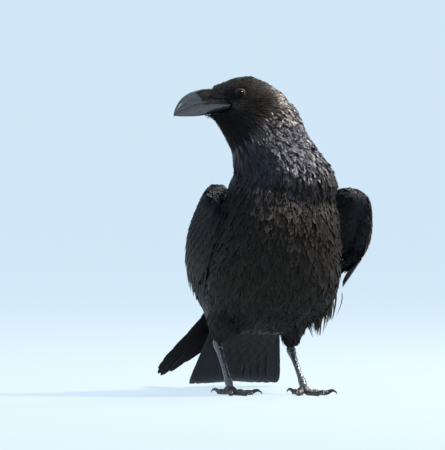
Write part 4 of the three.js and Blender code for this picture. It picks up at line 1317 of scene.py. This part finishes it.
TUFT_FEATHERS = 34
TUFT_ROOT = (-8, -10, 46)  # from the tip
ROOT_SPREAD, TIP_SPREAD = (8, 7, 9), (3.2, 3.5, 1)


def flank_tufts():
    """Long loose feathers that hang in points below the belly's left side."""
    tips, roots = [], []
    for tip in FLANK_TUFTS:
        for _ in range(TUFT_FEATHERS):
            spread = rng.normal(0, 1, 3)
            roots.append(np.array(tip) + TUFT_ROOT + spread * ROOT_SPREAD)
            tips.append(np.array(tip) + spread * TIP_SPREAD + (0, 0, abs(rng.normal(0, 9)) - 2))
    out = np.tile(unit(np.array([0.45, -0.9, -0.1])), (len(roots), 1))
    width = rng.uniform(1.8, 4.2, len(roots))
    strands("flank_tufts", roots, tips, out, width, 4.0, BELLY, edge=0.3, material="soft")


flank_tufts()

# ---- camera, floor and light

VIEW_AZIMUTH, VIEW_ELEVATION = -12, 1
DISTANCE = 8.0
SENSOR = 36
PICTURE_HEIGHT = 450  # in pixels; its width is 445
PIXEL = 1.3 * MM  # the size of a pixel at the bird
TARGET = (-65.5, 13.9, 221)
LIGHT_AIM = 0.2  # the height that the lamps point at, in metres


def direction(azimuth, elevation):
    """From the bird outwards: azimuth 0 is straight ahead of it, 90 its left."""
    a, e = math.radians(azimuth), math.radians(elevation)
    return Vector((math.sin(a) * math.cos(e), -math.cos(a) * math.cos(e), math.sin(e)))


def face_inwards(thing, away):
    thing.rotation_mode = "QUATERNION"
    thing.rotation_quaternion = away.to_track_quat("Z", "Y")


def make_camera():
    data = bpy.data.cameras.new("camera")
    camera = add_object("camera", data)
    back = direction(VIEW_AZIMUTH, VIEW_ELEVATION)
    camera.location = Vector(to_part(TARGET)) + back * DISTANCE
    face_inwards(camera, back)
    data.sensor_width = SENSOR
    data.lens = SENSOR * DISTANCE / (PICTURE_HEIGHT * PIXEL)
    data.clip_start, data.clip_end = 0.1, 200
    bpy.context.scene.camera = camera


def area_light(name, azimuth, elevation, distance, size, power, colour):
    data = bpy.data.lights.new(name, "AREA")
    data.shape = "DISK"
    data.size = size
    data.energy = power
    data.color = colour
    light = add_object(name, data)
    away = direction(azimuth, elevation)
    light.location = away * distance + Vector((0, 0, LIGHT_AIM))
    face_inwards(light, away)


make_camera()
area_light("key_light", 66, 51, 3.2, 0.5, 390, (1.0, 0.95, 0.88))
area_light("fill_light", -60, 20, 3.5, 0.8, 8, (0.80, 0.89, 1.0))
area_light("rim_light", 124, 50, 3.0, 0.9, 90, (1.0, 0.97, 0.93))

SKY = (0.64, 0.80, 0.93)
world = bpy.data.worlds.new("studio")
world.use_nodes = True
background = world.node_tree.nodes["Background"]
background.inputs["Color"].default_value = (*SKY, 1)
background.inputs["Strength"].default_value = 1.0
bpy.context.scene.world = world
bpy.context.scene.view_settings.view_transform = "Standard"

FLOOR = 60.0  # half its side, in metres
FLOOR_TONE = 0.055
corners = [(-FLOOR, -FLOOR, 0), (FLOOR, -FLOOR, 0), (FLOOR, FLOOR, 0), (-FLOOR, FLOOR, 0)]
floor_mesh = bpy.data.meshes.new("floor")
floor_mesh.from_pydata(corners, [], [(0, 1, 2, 3)])
pale_floor = Material("pale_floor", base_color=(FLOOR_TONE, FLOOR_TONE, FLOOR_TONE, 1), roughness=0.95,
                      specular=0.0, emission_color=(*SKY, 1), emission_strength=1 - FLOOR_TONE)
floor_mesh.materials.append(pale_floor.data)
floor = add_object("floor", floor_mesh)
